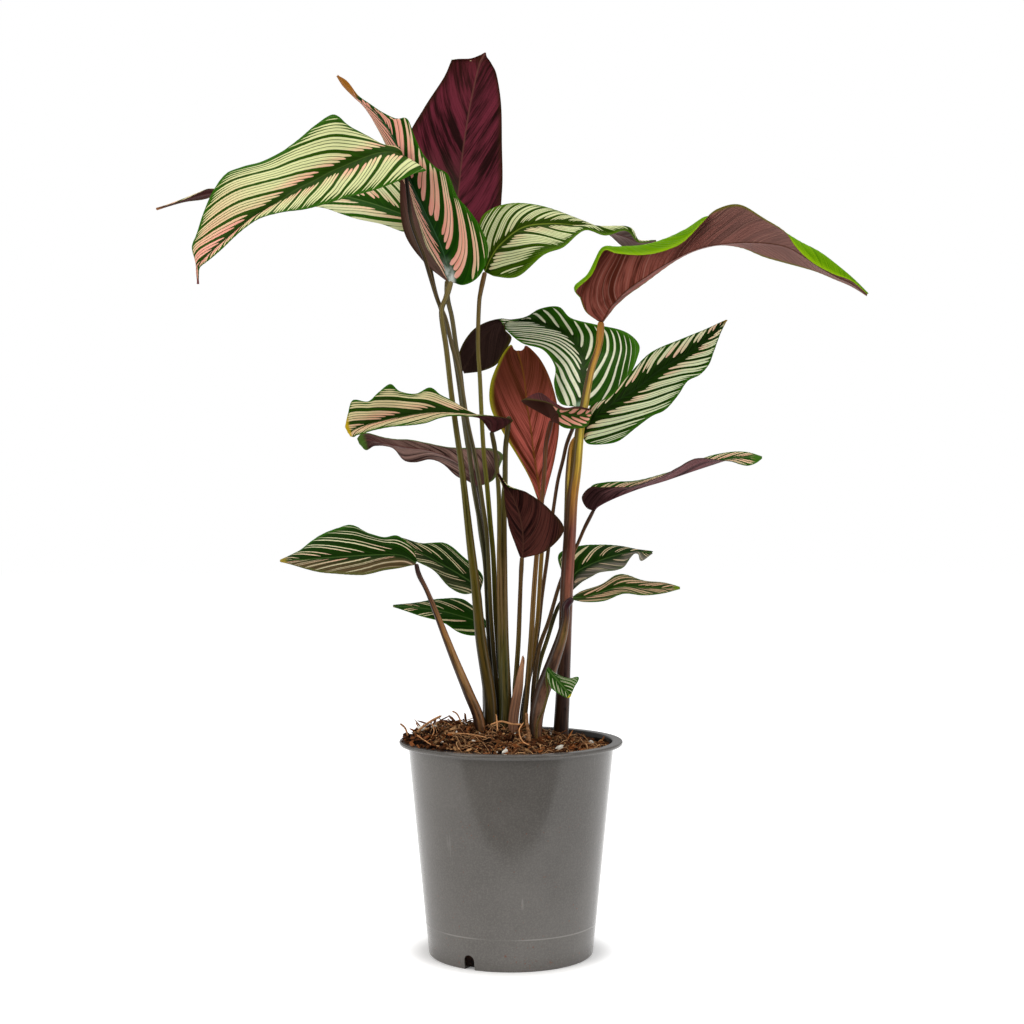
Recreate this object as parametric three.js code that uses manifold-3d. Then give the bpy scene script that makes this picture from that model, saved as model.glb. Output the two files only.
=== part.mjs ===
// A star calathea in its grey nursery pot: twenty thin leaves on long stalks that rise from one
// crown in mounded brown compost. Millimetres, +Z up, the pot's base centre at the origin, the side
// that is drawn from at -Y.
import * as THREE from 'three';
import { mergeVertices } from 'three/addons/utils/BufferGeometryUtils.js';
import Module from 'manifold-3d';

const wasm = await Module();
wasm.setup();

// Driving sizes
const rimRadius = 85;
const rimHeight = 161;
const lipThickness = 4.2;
const lipOverhang = 6.8;
const baseRadius = 62.5;
const wallThickness = 1.6;
const floorThickness = 2.4;
const potSegments = 36;
const clearance = 0.35;
const seatGap = 0.7;
const bladeThickness = 0.7;
const stalkSides = 6;
const stalkDepth = 26;

// Drawing sheet
// Leaves and stalks are drawn as points seen from straight in front: a place across and down on a
// square sheet, and a depth in millimetres behind the pot's axis. The sheet's eye stands level with
// the middle of the plant, and the rim's width on the sheet sets the scale.
const rimWidthOnSheet = 223;
const sheetScale = (2 * rimRadius) / rimWidthOnSheet;
const sheetAxis = 511;
const sheetHorizon = 512;
const eyeHeight = 334.5;
const eyeDistance = 1300;

function seen([across, down, depth]) {
  const scale = (sheetScale * (eyeDistance + depth)) / eyeDistance;
  const height = eyeHeight + (sheetHorizon - down) * scale;
  return new THREE.Vector3((across - sheetAxis) * scale, depth, height);
}

// Solids
function toSolid(geometry) {
  const bare = geometry.clone();
  bare.deleteAttribute('normal');
  bare.deleteAttribute('uv');
  const merged = mergeVertices(bare, 1e-4);
  return new wasm.Manifold(new wasm.Mesh({
    numProp: 3,
    vertProperties: new Float32Array(merged.attributes.position.array),
    triVerts: new Uint32Array(merged.index.array),
  }));
}

function toGeometry(solid) {
  const mesh = solid.getMesh();
  const geometry = new THREE.BufferGeometry();
  geometry.setAttribute('position', new THREE.BufferAttribute(mesh.vertProperties, 3));
  geometry.setIndex(new THREE.BufferAttribute(mesh.triVerts, 1));
  geometry.computeVertexNormals();
  return geometry;
}

function smooth(points) {
  return new THREE.CatmullRomCurve3(points, false, 'catmullrom', 0.5);
}

function between(values, t) {
  const place = Math.min(Math.max(t, 0), 1) * (values.length - 1);
  const low = Math.min(Math.floor(place), values.length - 2);
  return THREE.MathUtils.lerp(values[low], values[low + 1], place - low);
}

// Blades
// A blade is a sheet between three rails drawn from its base to its tip: the midrib and the left and
// right margins, as they lie with the striped side up. Each margin may leave the midrib's depth by
// its lean, most in the middle of the leaf. A margin that rolls over has a fold rail before its edge.
function leanAt(lean, t) {
  return lean * Math.sin(Math.PI * (0.02 + 0.96 * t)) ** 0.8;
}

function railPoints(points, midrib, lean) {
  const depths = midrib.map((point) => point[2]);
  return points.map(([across, down], i) => {
    const t = i / (points.length - 1);
    return seen([across, down, between(depths, t) + leanAt(lean, t)]);
  });
}

function bladeSheet(leaf, steps, stepsAcross) {
  const sides = [];
  for (const side of ['left', 'right']) {
    const rails = [smooth(leaf.midrib.map(seen))];
    if (leaf[`${side}Fold`]) {
      rails.push(smooth(railPoints(leaf[`${side}Fold`], leaf.midrib, leaf[`${side}FoldLean`])));
    }
    rails.push(smooth(railPoints(leaf[side], leaf.midrib, leaf[`${side}Lean`])));
    sides.push(rails);
  }
  const rows = [];
  for (let i = 0; i <= steps; i += 1) {
    const t = i / steps;
    const row = [];
    for (let j = -stepsAcross; j <= stepsAcross; j += 1) {
      const rails = sides[j < 0 ? 0 : 1];
      const section = smooth(rails.map((rail) => rail.getPoint(t)));
      row.push(section.getPoint(Math.abs(j) / stepsAcross));
    }
    rows.push(row);
  }
  return rows;
}

// Unit normal of the sheet at each of its points, on the striped side.
function sheetNormals(rows) {
  const lastRow = rows.length - 1;
  const lastColumn = rows[0].length - 1;
  return rows.map((row, i) => row.map((point, j) => {
    const along = rows[Math.min(i + 1, lastRow)][j].clone().sub(rows[Math.max(i - 1, 0)][j]);
    const across = row[Math.min(j + 1, lastColumn)].clone().sub(row[Math.max(j - 1, 0)]);
    return across.cross(along).normalize();
  }));
}

// Lifts each half of the sheet into a shallow arch and gives the margin its gentle waves.
function wave(rows, leaf, stepsAcross) {
  const normals = sheetNormals(rows);
  const steps = rows.length - 1;
  rows.forEach((row, i) => row.forEach((point, j) => {
    const t = i / steps;
    const side = (j - stepsAcross) / stepsAcross;
    const out = Math.abs(side);
    const fullness = Math.sin(Math.PI * t) ** 0.7;
    const arch = leaf.arch * 4 * out * (1 - out) * fullness;
    const phase = 2 * Math.PI * leaf.waves * t + (side < 0 ? 1.3 : 0);
    const ripple = leaf.ripple * Math.sin(phase) * out * out * fullness;
    point.addScaledVector(normals[i][j], arch + ripple);
  }));
}

// Two faces split into triangles alike, and a wall all round.
function slab(rows, thickness) {
  const normals = sheetNormals(rows);
  const wide = rows[0].length;
  const count = rows.length * wide;
  const positions = [];
  for (const face of [0.5, -0.5]) {
    rows.forEach((row, i) => row.forEach((point, j) => {
      const moved = point.clone().addScaledVector(normals[i][j], face * thickness);
      positions.push(moved.x, moved.y, moved.z);
    }));
  }
  const index = [];
  const border = [];
  for (let i = 0; i < rows.length - 1; i += 1) {
    for (let j = 0; j < wide - 1; j += 1) {
      const a = i * wide + j;
      const [b, c, d] = [a + 1, a + wide + 1, a + wide];
      index.push(a, b, c, a, c, d);
      index.push(a + count, c + count, b + count, a + count, d + count, c + count);
    }
  }
  for (let j = 0; j < wide - 1; j += 1) border.push(j);
  for (let i = 0; i < rows.length - 1; i += 1) border.push(i * wide + wide - 1);
  for (let j = wide - 1; j > 0; j -= 1) border.push((rows.length - 1) * wide + j);
  for (let i = rows.length - 1; i > 0; i -= 1) border.push(i * wide);
  border.forEach((a, k) => {
    const b = border[(k + 1) % border.length];
    index.push(a, a + count, b + count, a, b + count, b);
  });
  const geometry = new THREE.BufferGeometry();
  geometry.setAttribute('position', new THREE.Float32BufferAttribute(positions, 3));
  geometry.setIndex(index);
  geometry.computeVertexNormals();
  return geometry;
}

function blade(leaf) {
  const stepsAcross = leaf.stepsAcross ?? 3;
  const steps = leaf.steps ?? Math.round(1.5 * (leaf.midrib.length - 1));
  const rows = bladeSheet(leaf, steps, stepsAcross);
  wave(rows, leaf, stepsAcross);
  return slab(rows, bladeThickness);
}

// Stalks
// A stalk is a tapered rod bent along a path from its blade down to the compost. Its top stops a
// small gap short of the blade's base, and its foot goes straight down into the crown.
function stalkPath({ carries, path, seat = 0 }) {
  const drawn = path.map(seen);
  if (carries) {
    const leaf = leaves.find(({ name }) => name === carries);
    const base = seen(leaf.midrib[0]);
    const away = drawn[0].clone().sub(base).normalize();
    const corners = [leaf.left[0], leaf.right[0]].map((corner) => seen([...corner, base.y]));
    const reach = Math.max(0, ...corners.map((corner) => corner.sub(base).dot(away)));
    drawn.unshift(base.addScaledVector(away, reach + seatGap + seat));
  }
  const foot = drawn[drawn.length - 1].clone();
  foot.z -= stalkDepth;
  return smooth([...drawn, foot].reverse());
}

function bendAlong(path, radii, steps, extra = 0) {
  const rod = new THREE.CylinderGeometry(1, 1, 1, stalkSides, steps);
  const frames = path.computeFrenetFrames(steps, false);
  const position = rod.attributes.position;
  for (let i = 0; i < position.count; i += 1) {
    const place = position.getY(i) + 0.5;
    const frame = Math.round(place * steps);
    const radius = between(radii, 1 - place) + extra;
    const point = path.getPointAt(place);
    point.addScaledVector(frames.normals[frame], position.getX(i) * radius);
    point.addScaledVector(frames.binormals[frame], -position.getZ(i) * radius);
    if (place < 0.5 / steps) point.addScaledVector(frames.tangents[frame], -extra);
    position.setXYZ(i, point.x, point.y, point.z);
  }
  return rod;
}

function stalkSolid(stalk, extra = 0) {
  return stalk.branches
    .map((branch) => bendAlong(stalkPath(branch), branch.radii, branch.steps, extra))
    .map(toSolid)
    .reduce((whole, next) => whole.add(next));
}

// Materials
function finish(color, roughness) {
  return new THREE.MeshStandardMaterial({ color, roughness, metalness: 0 });
}

const finishes = {
  potPlastic: finish(0x7d7d7b, 0.45),
  compost: finish(0x4a2c1a, 0.95),
  striped: finish(0x4f7a3a, 0.4),
  underside: finish(0x5a2430, 0.45),
  stalk: finish(0x6c6238, 0.5),
};

// Leaves
// Each entry has its rails on the drawing sheet, the leans in millimetres, and the stalk that
// carries it with radii from the top down.
const leaves = [
  {
    name: 'upper_left',
    color: 'striped',
    midrib: [[404, 160, -30], [397, 153, -33], [375, 154, -40], [335, 170, -55],
      [314, 181, -63], [293, 192, -72], [255, 213, -88], [225, 234, -102], [206, 252, -112],
      [198, 269, -118], [198, 284, -120]],
    left: [[406, 163], [417, 166.5], [426, 170.5], [415, 173], [402, 179], [377, 189],
      [352, 196.5], [340, 200.5], [327, 204], [315, 206.5], [303, 208.5], [283, 211],
      [262, 217.5], [248, 227], [235, 238], [224, 247.5], [213, 256], [205, 262],
      [199.5, 267.5], [199, 276], [199, 284]],
    right: [[402, 157], [401, 151], [395, 146.5], [383, 144.5], [366, 134.5], [350, 125.5],
      [334, 114.2], [316, 125], [299, 140], [281, 153], [262, 161.5], [243, 166], [226, 173],
      [213, 191], [203.5, 214], [197.5, 234], [192.5, 246], [194, 257], [197, 268], [198, 276],
      [197, 284]],
    leftLean: -14, rightLean: 16, arch: 2, waves: 3, ripple: 1, steps: 20,
    stalk: [
      {
        carries: 'upper_left',
        seat: -1.3,
        path: [[405.5, 171, -24], [407.5, 188, -20], [412, 223, -18], [424, 256, -16],
          [431, 279, -14], [438, 301, -13], [446, 320, -12], [452, 346, -11], [459.5, 373, -10],
          [467.5, 422, -8], [475.5, 459, -6], [482, 500, -4], [487, 540, -1], [491, 620, 2.5],
          [496, 680, 6], [500, 722, 7.5]],
        radii: [1.4, 1.6, 1.6, 1.7, 1.7, 1.8, 2],
        steps: 14,
      },
    ],
  },
  {
    name: 'behind_left',
    color: 'striped',
    midrib: [[425, 222, 44], [402, 214, 48], [370, 203, 56], [335, 195, 66], [290, 192, 74],
      [245, 193, 80], [212, 193, 82], [183, 200, 84], [156, 209, 85]],
    left: [[425, 224], [416, 230], [404, 232], [382, 224], [358, 218.5], [342, 213.5],
      [325, 208], [307, 206], [288, 203], [266, 201.5], [243, 198], [226, 192], [210, 188],
      [198, 192.5], [185, 199], [170, 204.5], [156, 208]],
    right: [[424, 220], [408, 185], [385, 165], [330, 168], [280, 172],
      [240, 180], [211, 197], [184, 201.5], [157, 210]],
    leftLean: -10, rightLean: 16, arch: 1.5, waves: 2, ripple: 1,
    stalk: [
      {
        carries: 'behind_left',
        seat: 0.6,
        path: [[427, 245, 43], [435, 290, 41], [450.5, 340, 38], [457, 372, 36], [466.5, 440, 32],
          [474.5, 483, 31], [480, 530, 31], [485, 565, 32], [488, 620, 34], [490, 680, 29],
          [491, 722, 24]],
        radii: [1.4, 1.6, 1.7, 1.9],
        steps: 10,
      },
    ],
  },
  {
    name: 'pink',
    color: 'striped',
    midrib: [[451, 282, -15], [448, 268, -16], [441, 246, -18], [426, 214, -20],
      [411, 182, -20], [400, 152, -18], [387, 127, -16], [370, 107, -14], [356, 96, -13],
      [338, 76, -12]],
    left: [[449, 281], [445, 275.5], [440, 267], [433.5, 258], [426, 246], [420, 228],
      [414, 208], [409.5, 190], [402, 176], [395, 161], [388, 148], [382, 136], [376, 126],
      [370, 116], [364, 107], [359, 101], [354.5, 97], [343.5, 86.5], [336.5, 76]],
    right: [[453.5, 282.5], [464, 285], [477, 278.5], [486, 264], [488, 246], [480, 226],
      [468, 209], [457, 196], [448, 174.5], [436, 167.5], [424, 155], [415, 137], [407.5, 119],
      [395, 118], [381, 111.5], [369, 103.5], [358, 95.5], [347.5, 81.5], [337.5, 75]],
    leftLean: 26, rightLean: -5, arch: 2, waves: 2, ripple: 0.6, steps: 18,
    stalk: [
      {
        carries: 'pink',
        seat: -0.05,
        path: [[446, 298, -19], [441.5, 313, -20], [446.5, 350, -19], [451, 390, -17],
          [455.5, 424, -15], [462, 470, -12], [470, 540, -8], [476, 590, -5], [481, 640, -2],
          [489, 690, 0], [491, 722, 0]],
        radii: [1.9, 2, 2, 2.2, 2.5, 3.1, 3.7, 4.4, 5.2, 5.2],
        steps: 12,
      },
    ],
  },
  {
    name: 'tall_maroon',
    color: 'underside',
    midrib: [[447, 281, 8], [450, 262, 14], [454, 232, 22], [458, 195, 28], [463, 150, 30],
      [470, 106, 28], [476, 78, 24], [479.5, 64, 20.5], [480.5, 61.5, 20], [483, 57, 19],
      [485, 52.5, 18]],
    left: [[449, 281], [475, 262], [496, 232], [502, 190], [502, 145],
      [501.5, 104], [497, 75], [491, 63.5], [489.5, 61], [487, 57], [486, 53]],
    right: [[445, 280], [424, 262], [404, 232], [400, 190], [405, 145],
      [424, 108], [443, 78], [450.5, 62], [453.5, 59.8], [470, 59], [483.5, 53.5]],
    leftLean: 8, rightLean: 8, arch: 2, waves: 2, ripple: 1, steps: 20,
    stalk: [
      {
        carries: 'tall_maroon',
        seat: -0.25,
        path: [[447.5, 298, 9], [452, 318, 8], [456, 346, 7.5], [460, 370, 7], [466, 424, 6],
          [473, 483, 5], [480, 524, 5], [485, 560, 5.5], [488, 620, 7], [491, 680, 9],
          [493, 722, 9.5]],
        radii: [1.8, 1.8, 1.8, 1.8, 1.8, 2],
        steps: 11,
      },
    ],
  },
  {
    name: 'top_right',
    color: 'striped',
    midrib: [[485, 272, 8], [490, 260, 10], [500, 245, 13], [522, 228, 17], [548, 224, 25],
      [580, 226, 38], [606, 231, 50], [627, 237, 58], [640, 242.5, 64], [656, 241, 68]],
    left: [[484, 270], [479, 240], [483, 215], [508, 204.5], [545, 206.5],
      [580, 218.5], [607, 235], [624, 247], [638, 245.5], [656, 242.5]],
    rightFold: [[486.5, 272.7], [494, 270], [511, 263], [533, 243], [557, 238.5],
      [583, 227.5], [603, 228], [629, 229], [638.5, 240.5], [656, 240.3]],
    right: [[487, 273], [497, 277], [518, 276], [543, 255.5], [563.5, 248],
      [585, 229], [606, 235.5], [626, 231.5], [639, 242], [656, 240]],
    leftLean: 9, rightFoldLean: -9, rightLean: -14, arch: 1.5, waves: 3, ripple: 1.2,
    steps: 27, stepsAcross: 4,
    stalk: [
      {
        carries: 'top_right',
        path: [[481, 290, 6], [479, 305, 4], [478, 345, 2], [480, 380, 0], [482, 424, -1],
          [484, 455, -1], [487, 485, -1], [490, 520, 1], [493.5, 560, 3.4], [496, 620, 6.5],
          [501, 680, 8], [507, 722, 8]],
        radii: [1.7, 1.6, 1.7, 1.9, 1.9, 1.9, 2],
        steps: 11,
      },
    ],
  },
  {
    name: 'long_right',
    color: 'underside',
    midrib: [[601, 322, 2], [606, 313, -1], [610, 306, -3], [617, 299, -6], [624, 292, -9],
      [633, 285, -13], [645, 277, -18], [658, 268, -24], [672, 260, -30], [688, 252, -37],
      [704, 246.5, -44.5], [722, 243.5, -52.5], [745, 242, -62], [766, 242.5, -70.5],
      [786, 246, -79], [802, 254.5, -86], [818, 265.5, -93], [836, 276, -100],
      [852, 283.5, -105], [867, 294.5, -110]],
    left: [[603.5, 321.5], [610, 313.5], [615, 307], [622, 300], [629, 293.5],
      [638, 287], [649, 279], [661, 270.5], [675, 261.5], [690, 254],
      [705, 249], [722, 246], [743, 248.5], [764, 256.5], [784, 262],
      [801, 266.5], [817, 271.5], [834, 279], [851, 286.5], [867, 296]],
    rightFold: [[599.5, 321.5], [592, 312], [588, 303], [577.5, 288], [590.5, 274.5],
      [604, 250.5], [620, 247.5], [644, 245], [667, 238], [688, 228],
      [704, 219], [722, 221], [743, 218], [768, 229], [787, 235],
      [803, 243], [821, 252.5], [840, 267], [855, 280], [868.5, 293.5]],
    right: [[598.5, 321.5], [586, 312], [580, 298], [577, 290], [592, 275],
      [603.5, 251], [617, 253], [641, 254.5], [662, 251], [683, 242],
      [704.5, 221], [717, 209.5], [739, 205], [764, 219], [785, 232],
      [797, 248], [813, 262.5], [833, 273.5], [851, 280.5], [867.5, 294]],
    leftLean: 20, rightFoldLean: -10, rightLean: -15, arch: 0, waves: 2, ripple: 0.8,
    steps: 38, stepsAcross: 4,
    stalk: [
      {
        carries: 'long_right',
        seat: -0.2,
        path: [[599, 345, 1], [591, 370, 0.5], [585, 401, 0], [580, 428, 0], [576, 470, 0],
          [572, 500, 0.5], [569.5, 540, 1.5], [567, 580, 3], [565.5, 620, 5], [564, 660, 8],
          [562.5, 700, 10], [561, 731, 12]],
        radii: [2.4, 2.6, 3, 3.4, 3.9, 4.3, 4.7, 4.9, 5, 5, 5.2, 5.5, 5.9, 5.9],
        steps: 13,
      },
      {
        carries: 'right',
        seat: 0.4,
        path: [[572, 445, 3], [568.5, 470, 1], [567.5, 500, 1.5], [567, 540, 2],
          [566, 620, 5.5], [563.5, 680, 9]],
        radii: [1.8, 2.1, 2.4, 3, 3.4, 3.6, 4, 4],
        steps: 8,
      },
    ],
  },
  {
    name: 'centre',
    color: 'striped',
    midrib: [[580, 406, 20], [583, 392, 24], [583, 372, 32], [582, 355, 40], [572, 338, 44],
      [553, 327, 44], [525, 320, 42], [501, 322, 42], [484, 337, 44], [471, 357, 48],
      [463, 371, 50]],
    left: [[577, 407], [560, 403], [554, 384], [555, 367], [543, 350], [522, 343], [506, 330],
      [497.5, 319.7], [474, 329], [459.5, 351.5], [462, 371]],
    right: [[582, 407], [593, 405], [604, 401], [621, 389], [632, 371], [637.5, 357],
      [639.5, 346], [632, 336], [618, 329], [595, 324], [571, 318], [559, 307], [541, 309],
      [526, 317], [507, 321], [505, 330], [511.5, 338], [506, 350], [497, 364], [482, 371],
      [464, 373.5]],
    leftLean: -2, rightLean: -6, arch: 1.5, waves: 3, ripple: 0.6, steps: 20,
    stalk: [
      {
        carries: 'centre',
        seat: -0.4,
        path: [[574, 425, 15], [567, 443, 12], [563, 460, 11], [558, 480, 10], [554, 505, 9],
          [550, 535, 9], [547, 560, 9], [542, 595, 9], [538, 630, 9], [532, 665, 9],
          [526, 690, 9], [521.5, 722, 9]],
        radii: [1.6, 1.4, 1.4, 1.6, 1.9, 2],
        steps: 11,
      },
    ],
  },
  {
    name: 'right',
    color: 'striped',
    midrib: [[582, 433, 7], [592, 420, 5], [612, 404, 0], [636, 389, -8], [660, 370, -20],
      [690, 352, -34], [712, 335, -48], [727, 320, -60]],
    left: [[581, 431], [591, 405], [612, 396], [630, 373.5], [650, 353], [682, 339],
      [708, 328], [725.5, 320]],
    right: [[583, 435], [585, 441], [590, 444.5], [605, 444], [619, 440.5], [636, 428],
      [652, 416.5], [665, 410], [677, 396], [687, 381.5], [700, 375], [709, 365], [713.5, 352],
      [719.5, 335], [726, 322]],
    leftLean: 6, rightLean: -13, arch: 1.5, waves: 3, ripple: 0.6, steps: 14,
  },
  {
    name: 'small_cup',
    color: 'striped',
    midrib: [[551.5, 420.5, -16], [556, 415, -20], [564, 414, -25], [574, 415, -31],
      [584, 415, -37], [591, 413, -42]],
    leftFold: [[550, 418], [541, 394], [552, 401], [565, 408], [578, 407], [590, 409]],
    left: [[549, 418], [521, 401], [545, 402], [562, 410], [577, 408.5], [589.5, 410.5]],
    right: [[552, 422], [557, 423.5], [565, 428], [576, 428.5], [587, 426], [592, 414.5]],
    leftFoldLean: -5, leftLean: -10, rightLean: -8, arch: 0, waves: 1, ripple: 0,
    stepsAcross: 4,
    stalk: [
      {
        carries: 'small_cup',
        seat: -0.5,
        path: [[546, 445, -11], [544.5, 470, -9], [542, 500, -7], [538, 540, -6],
          [534, 590, -6], [531, 640, -6], [527, 690, -6], [524, 722, -6]],
        radii: [1.7, 1.7, 1.8, 2, 2.2, 2.5],
        steps: 9,
      },
    ],
  },
  {
    name: 'rust',
    color: 'underside',
    midrib: [[541, 503.5, 6], [538, 480, 9], [534, 455, 12], [531, 430, 14], [527, 405, 15],
      [524.5, 380, 15], [521, 363, 14], [518, 353, 13], [519, 352, 21], [519, 362, 28]],
    left: [[543, 504], [549, 482], [555, 457], [559, 428], [557, 403],
      [550, 378], [540, 359], [528, 347], [524, 349], [521, 361]],
    right: [[539, 503.5], [530, 480], [517, 456], [504, 434], [491, 408],
      [490, 384], [499, 360], [509, 346], [513, 349], [517, 361]],
    leftLean: 2, rightLean: 8, arch: 2, waves: 2, ripple: 1,
    stalk: [
      {
        carries: 'rust',
        seat: -0.35,
        path: [[541.5, 525, 4], [542, 545, 3], [540, 580, 3], [537.5, 620, 3], [533, 655, 3],
          [527, 690, 3], [523.5, 722, 3]],
        radii: [1.8, 1.6, 1.8, 2],
        steps: 8,
      },
    ],
  },
  {
    name: 'plum',
    color: 'underside',
    midrib: [[522, 557.5, -14], [523, 545, -18], [522, 528, -23], [518, 510, -27],
      [511, 495, -30], [504, 484, -33], [498, 473, -36]],
    left: [[524, 558], [546, 551], [564, 530], [551, 511], [527, 492.5],
      [508, 486], [499, 473]],
    right: [[520, 557], [516, 545], [509, 528], [506, 511], [505, 495],
      [502, 484], [497, 474]],
    leftLean: -4, rightLean: -12, arch: 1.5, waves: 2, ripple: 0.6,
    stalk: [
      {
        carries: 'plum',
        seat: -0.45,
        path: [[521, 575, -10], [520, 600, -7], [518.5, 640, -4], [516.5, 670, -2],
          [515, 690, -1.5], [515, 722, -1]],
        radii: [1.5, 1.8, 2, 2.2],
        steps: 7,
      },
    ],
  },
  {
    name: 'mid_left',
    color: 'striped',
    midrib: [[491.5, 431.5, -16], [491, 423, -19], [481, 417.5, -24], [455, 414, -34],
      [425, 413, -46], [395, 418, -58], [370, 424, -68], [356, 429, -74], [348, 432.5, -78]],
    left: [[494, 432.5], [505, 427], [513, 420], [499, 416], [482, 415.5], [469, 417.5],
      [456, 417], [441, 417.5], [427, 421.5], [411, 424.5], [395, 427], [382, 429.5],
      [370, 431.5], [363, 433], [357, 434.5], [354, 437], [350.5, 436.5]],
    right: [[489, 430], [486, 426], [483, 422], [482, 420], [480, 417.5], [468, 410.5],
      [452, 401.5], [440, 395.5], [430, 387.5], [416, 393.5], [400, 391], [390, 384],
      [378, 392.5], [368, 401.5], [353, 400], [348, 414], [345, 427]],
    leftLean: -14, rightLean: 6, arch: 1.5, waves: 3, ripple: 1,
    stalk: [
      {
        carries: 'mid_left',
        seat: -0.7,
        path: [[495, 450, -13], [497.5, 475, -11], [499, 500, -9], [499.5, 530, -7],
          [499.5, 570, -5], [501, 640, -3], [503, 700, -2], [504, 722, -2]],
        radii: [1.6, 1.7, 1.9, 2.3, 2.8, 3.2, 3.2],
        steps: 9,
      },
      {
        path: [[509, 416, -3], [508, 428, -3], [505.5, 449, -3], [505, 484, -3], [504, 500, -3],
          [504, 560, -2.5], [504, 640, -2], [505.5, 700, -2], [505, 722, -2]],
        radii: [1.9, 2, 2.1, 2.3, 2.8, 3.5, 4.3, 4.8, 4.8],
        steps: 9,
      },
    ],
  },
  {
    name: 'mid_left_under',
    color: 'underside',
    midrib: [[478, 486, 14], [474, 477, 18], [466, 469, 22], [452, 459, 30], [430, 450.5, 38],
      [405, 447, 48], [385, 443.5, 56], [370, 440, 62], [359, 443, 66]],
    left: [[480, 485.5], [488, 483], [495, 478], [500, 466], [503, 455], [493, 448.5],
      [480, 447.5], [462, 448], [445, 446.5], [428, 443], [410, 440], [397, 440], [386, 438],
      [378, 435.5], [369, 433], [361, 434], [357, 438.5]],
    right: [[476, 486], [472, 484], [468, 481.5], [463, 479], [458, 476.5], [452, 472],
      [445, 466.5], [437, 462], [428, 459.5], [415, 461.5], [404, 459.5], [394, 449.5],
      [385, 447], [378, 446], [373, 446], [366, 450], [360, 444.5]],
    leftLean: -5, rightLean: 14, arch: 1.5, waves: 3, ripple: 1,
    stalk: [
      {
        carries: 'mid_left_under',
        seat: -0.2,
        path: [[482, 510, 16], [486, 560, 17], [489, 620, 16], [494, 680, 14], [499, 722, 14]],
        radii: [1.5, 1.7, 1.8],
        steps: 7,
      },
    ],
  },
  {
    name: 'low_left',
    color: 'striped',
    midrib: [[416, 563, -12], [402, 556, -18], [385, 555, -26], [360, 556, -38],
      [330, 558, -50], [305, 560, -62], [280, 561, -72]],
    left: [[415, 565], [404, 567], [385, 569.5], [362, 576], [330, 573],
      [305, 568], [281, 562]],
    right: [[417, 561], [413, 550], [405, 541], [396, 535.5], [384, 536.5], [368, 532],
      [352, 525], [337, 529], [322, 535], [311, 541.5], [301, 549], [290, 555], [280, 560]],
    leftLean: -20, rightLean: 16, arch: 1.5, waves: 2, ripple: 1,
    stalk: [
      {
        carries: 'low_left',
        seat: -0.2,
        path: [[419, 575, -14], [427, 591, -16], [439, 620, -15], [453.5, 657, -13],
          [468, 692, -10], [479.5, 722, -8]],
        radii: [1.6, 1.8, 2.6, 3.2, 3.9, 4.4, 4.4],
        steps: 8,
      },
    ],
  },
  {
    name: 'low_left_back',
    color: 'striped',
    midrib: [[479, 591, 14], [472, 583, 17], [455, 572, 23], [437, 562, 30], [420, 553, 37],
      [405, 545, 43], [390, 537, 48]],
    left: [[478, 592], [464, 594], [449, 586.5], [434, 571.5], [418, 562], [402, 551],
      [389.5, 538]],
    right: [[481, 590], [482, 575], [464, 557], [446, 543.5], [422, 544],
      [404, 538], [391, 536]],
    leftLean: -9, rightLean: 12, arch: 1, waves: 2, ripple: 0.8,
    stalk: [
      {
        carries: 'low_left_back',
        seat: -0.2,
        path: [[480.5, 610, 15], [481, 640, 16], [484, 680, 16], [485, 722, 13]],
        radii: [1.5, 1.8],
        steps: 6,
      },
    ],
  },
  {
    name: 'lowest_left',
    color: 'striped',
    midrib: [[487, 625, 24], [476, 621, 28], [460, 616, 34], [440, 611, 42], [418, 608, 50],
      [393, 606, 58]],
    left: [[486, 627], [478, 635], [460, 633], [441, 622], [418, 615], [393, 607]],
    right: [[488, 624], [478, 611], [462, 598.5], [440, 599.5], [418, 602], [393, 605]],
    leftLean: -8, rightLean: 12, arch: 1, waves: 2, ripple: 0.8,
    stalk: [
      {
        carries: 'lowest_left',
        path: [[491, 648, 26], [497, 684, 22], [507, 722, 16]],
        radii: [1.5, 1.8],
        steps: 6,
      },
    ],
  },
  {
    name: 'low_right',
    color: 'striped',
    midrib: [[573, 598, -13], [586, 597, -18], [600, 593, -24], [620, 587, -32],
      [642, 588, -40], [662, 588.5, -48], [680, 588, -55]],
    left: [[573, 596.5], [584, 590], [601, 584], [620, 575], [642, 580], [662, 582], [680, 587]],
    right: [[573, 600], [586, 602.5], [603, 600.5], [622, 594], [642, 596], [662, 593],
      [680, 589]],
    leftLean: 12, rightLean: -12, arch: 1, waves: 2, ripple: 0.8,
    stalk: [
      {
        carries: 'low_right',
        seat: -0.5,
        path: [[566, 606, -12], [565.5, 618, -11.5], [561.5, 637, -10.5], [554.5, 658, -10],
          [546.5, 680, -9.5], [540, 700, -9.5], [536, 722, -9.5]],
        radii: [2.2, 3.2, 4.4, 5.2, 5.8, 5.6, 4.8, 4.6],
        steps: 9,
      },
    ],
  },
  {
    name: 'low_right_back',
    color: 'striped',
    midrib: [[571, 589, 16], [575, 574, 20], [590, 565, 24], [608, 558, 32], [625, 553.5, 40],
      [640, 552, 48], [652, 552.5, 54]],
    left: [[569, 588], [558, 556], [578, 546], [600, 545.5], [625, 546.5],
      [641, 549.5], [653, 551.5]],
    right: [[573, 590], [577, 586.5], [582.5, 582], [590, 577.5], [599, 572], [608, 570.5],
      [617, 570], [624.5, 567], [631, 558], [635, 553.5], [639, 554.5], [641.5, 561],
      [652.5, 553.5]],
    leftLean: 12, rightLean: -9, arch: 1, waves: 2, ripple: 0.8,
    stalk: [
      {
        carries: 'low_right_back',
        seat: -0.45,
        path: [[563, 600, 14], [556, 612, 13], [547, 640, 10.5], [540, 662, 9], [535, 690, 7],
          [533, 722, 6]],
        radii: [1.5, 1.7, 1.9],
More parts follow.
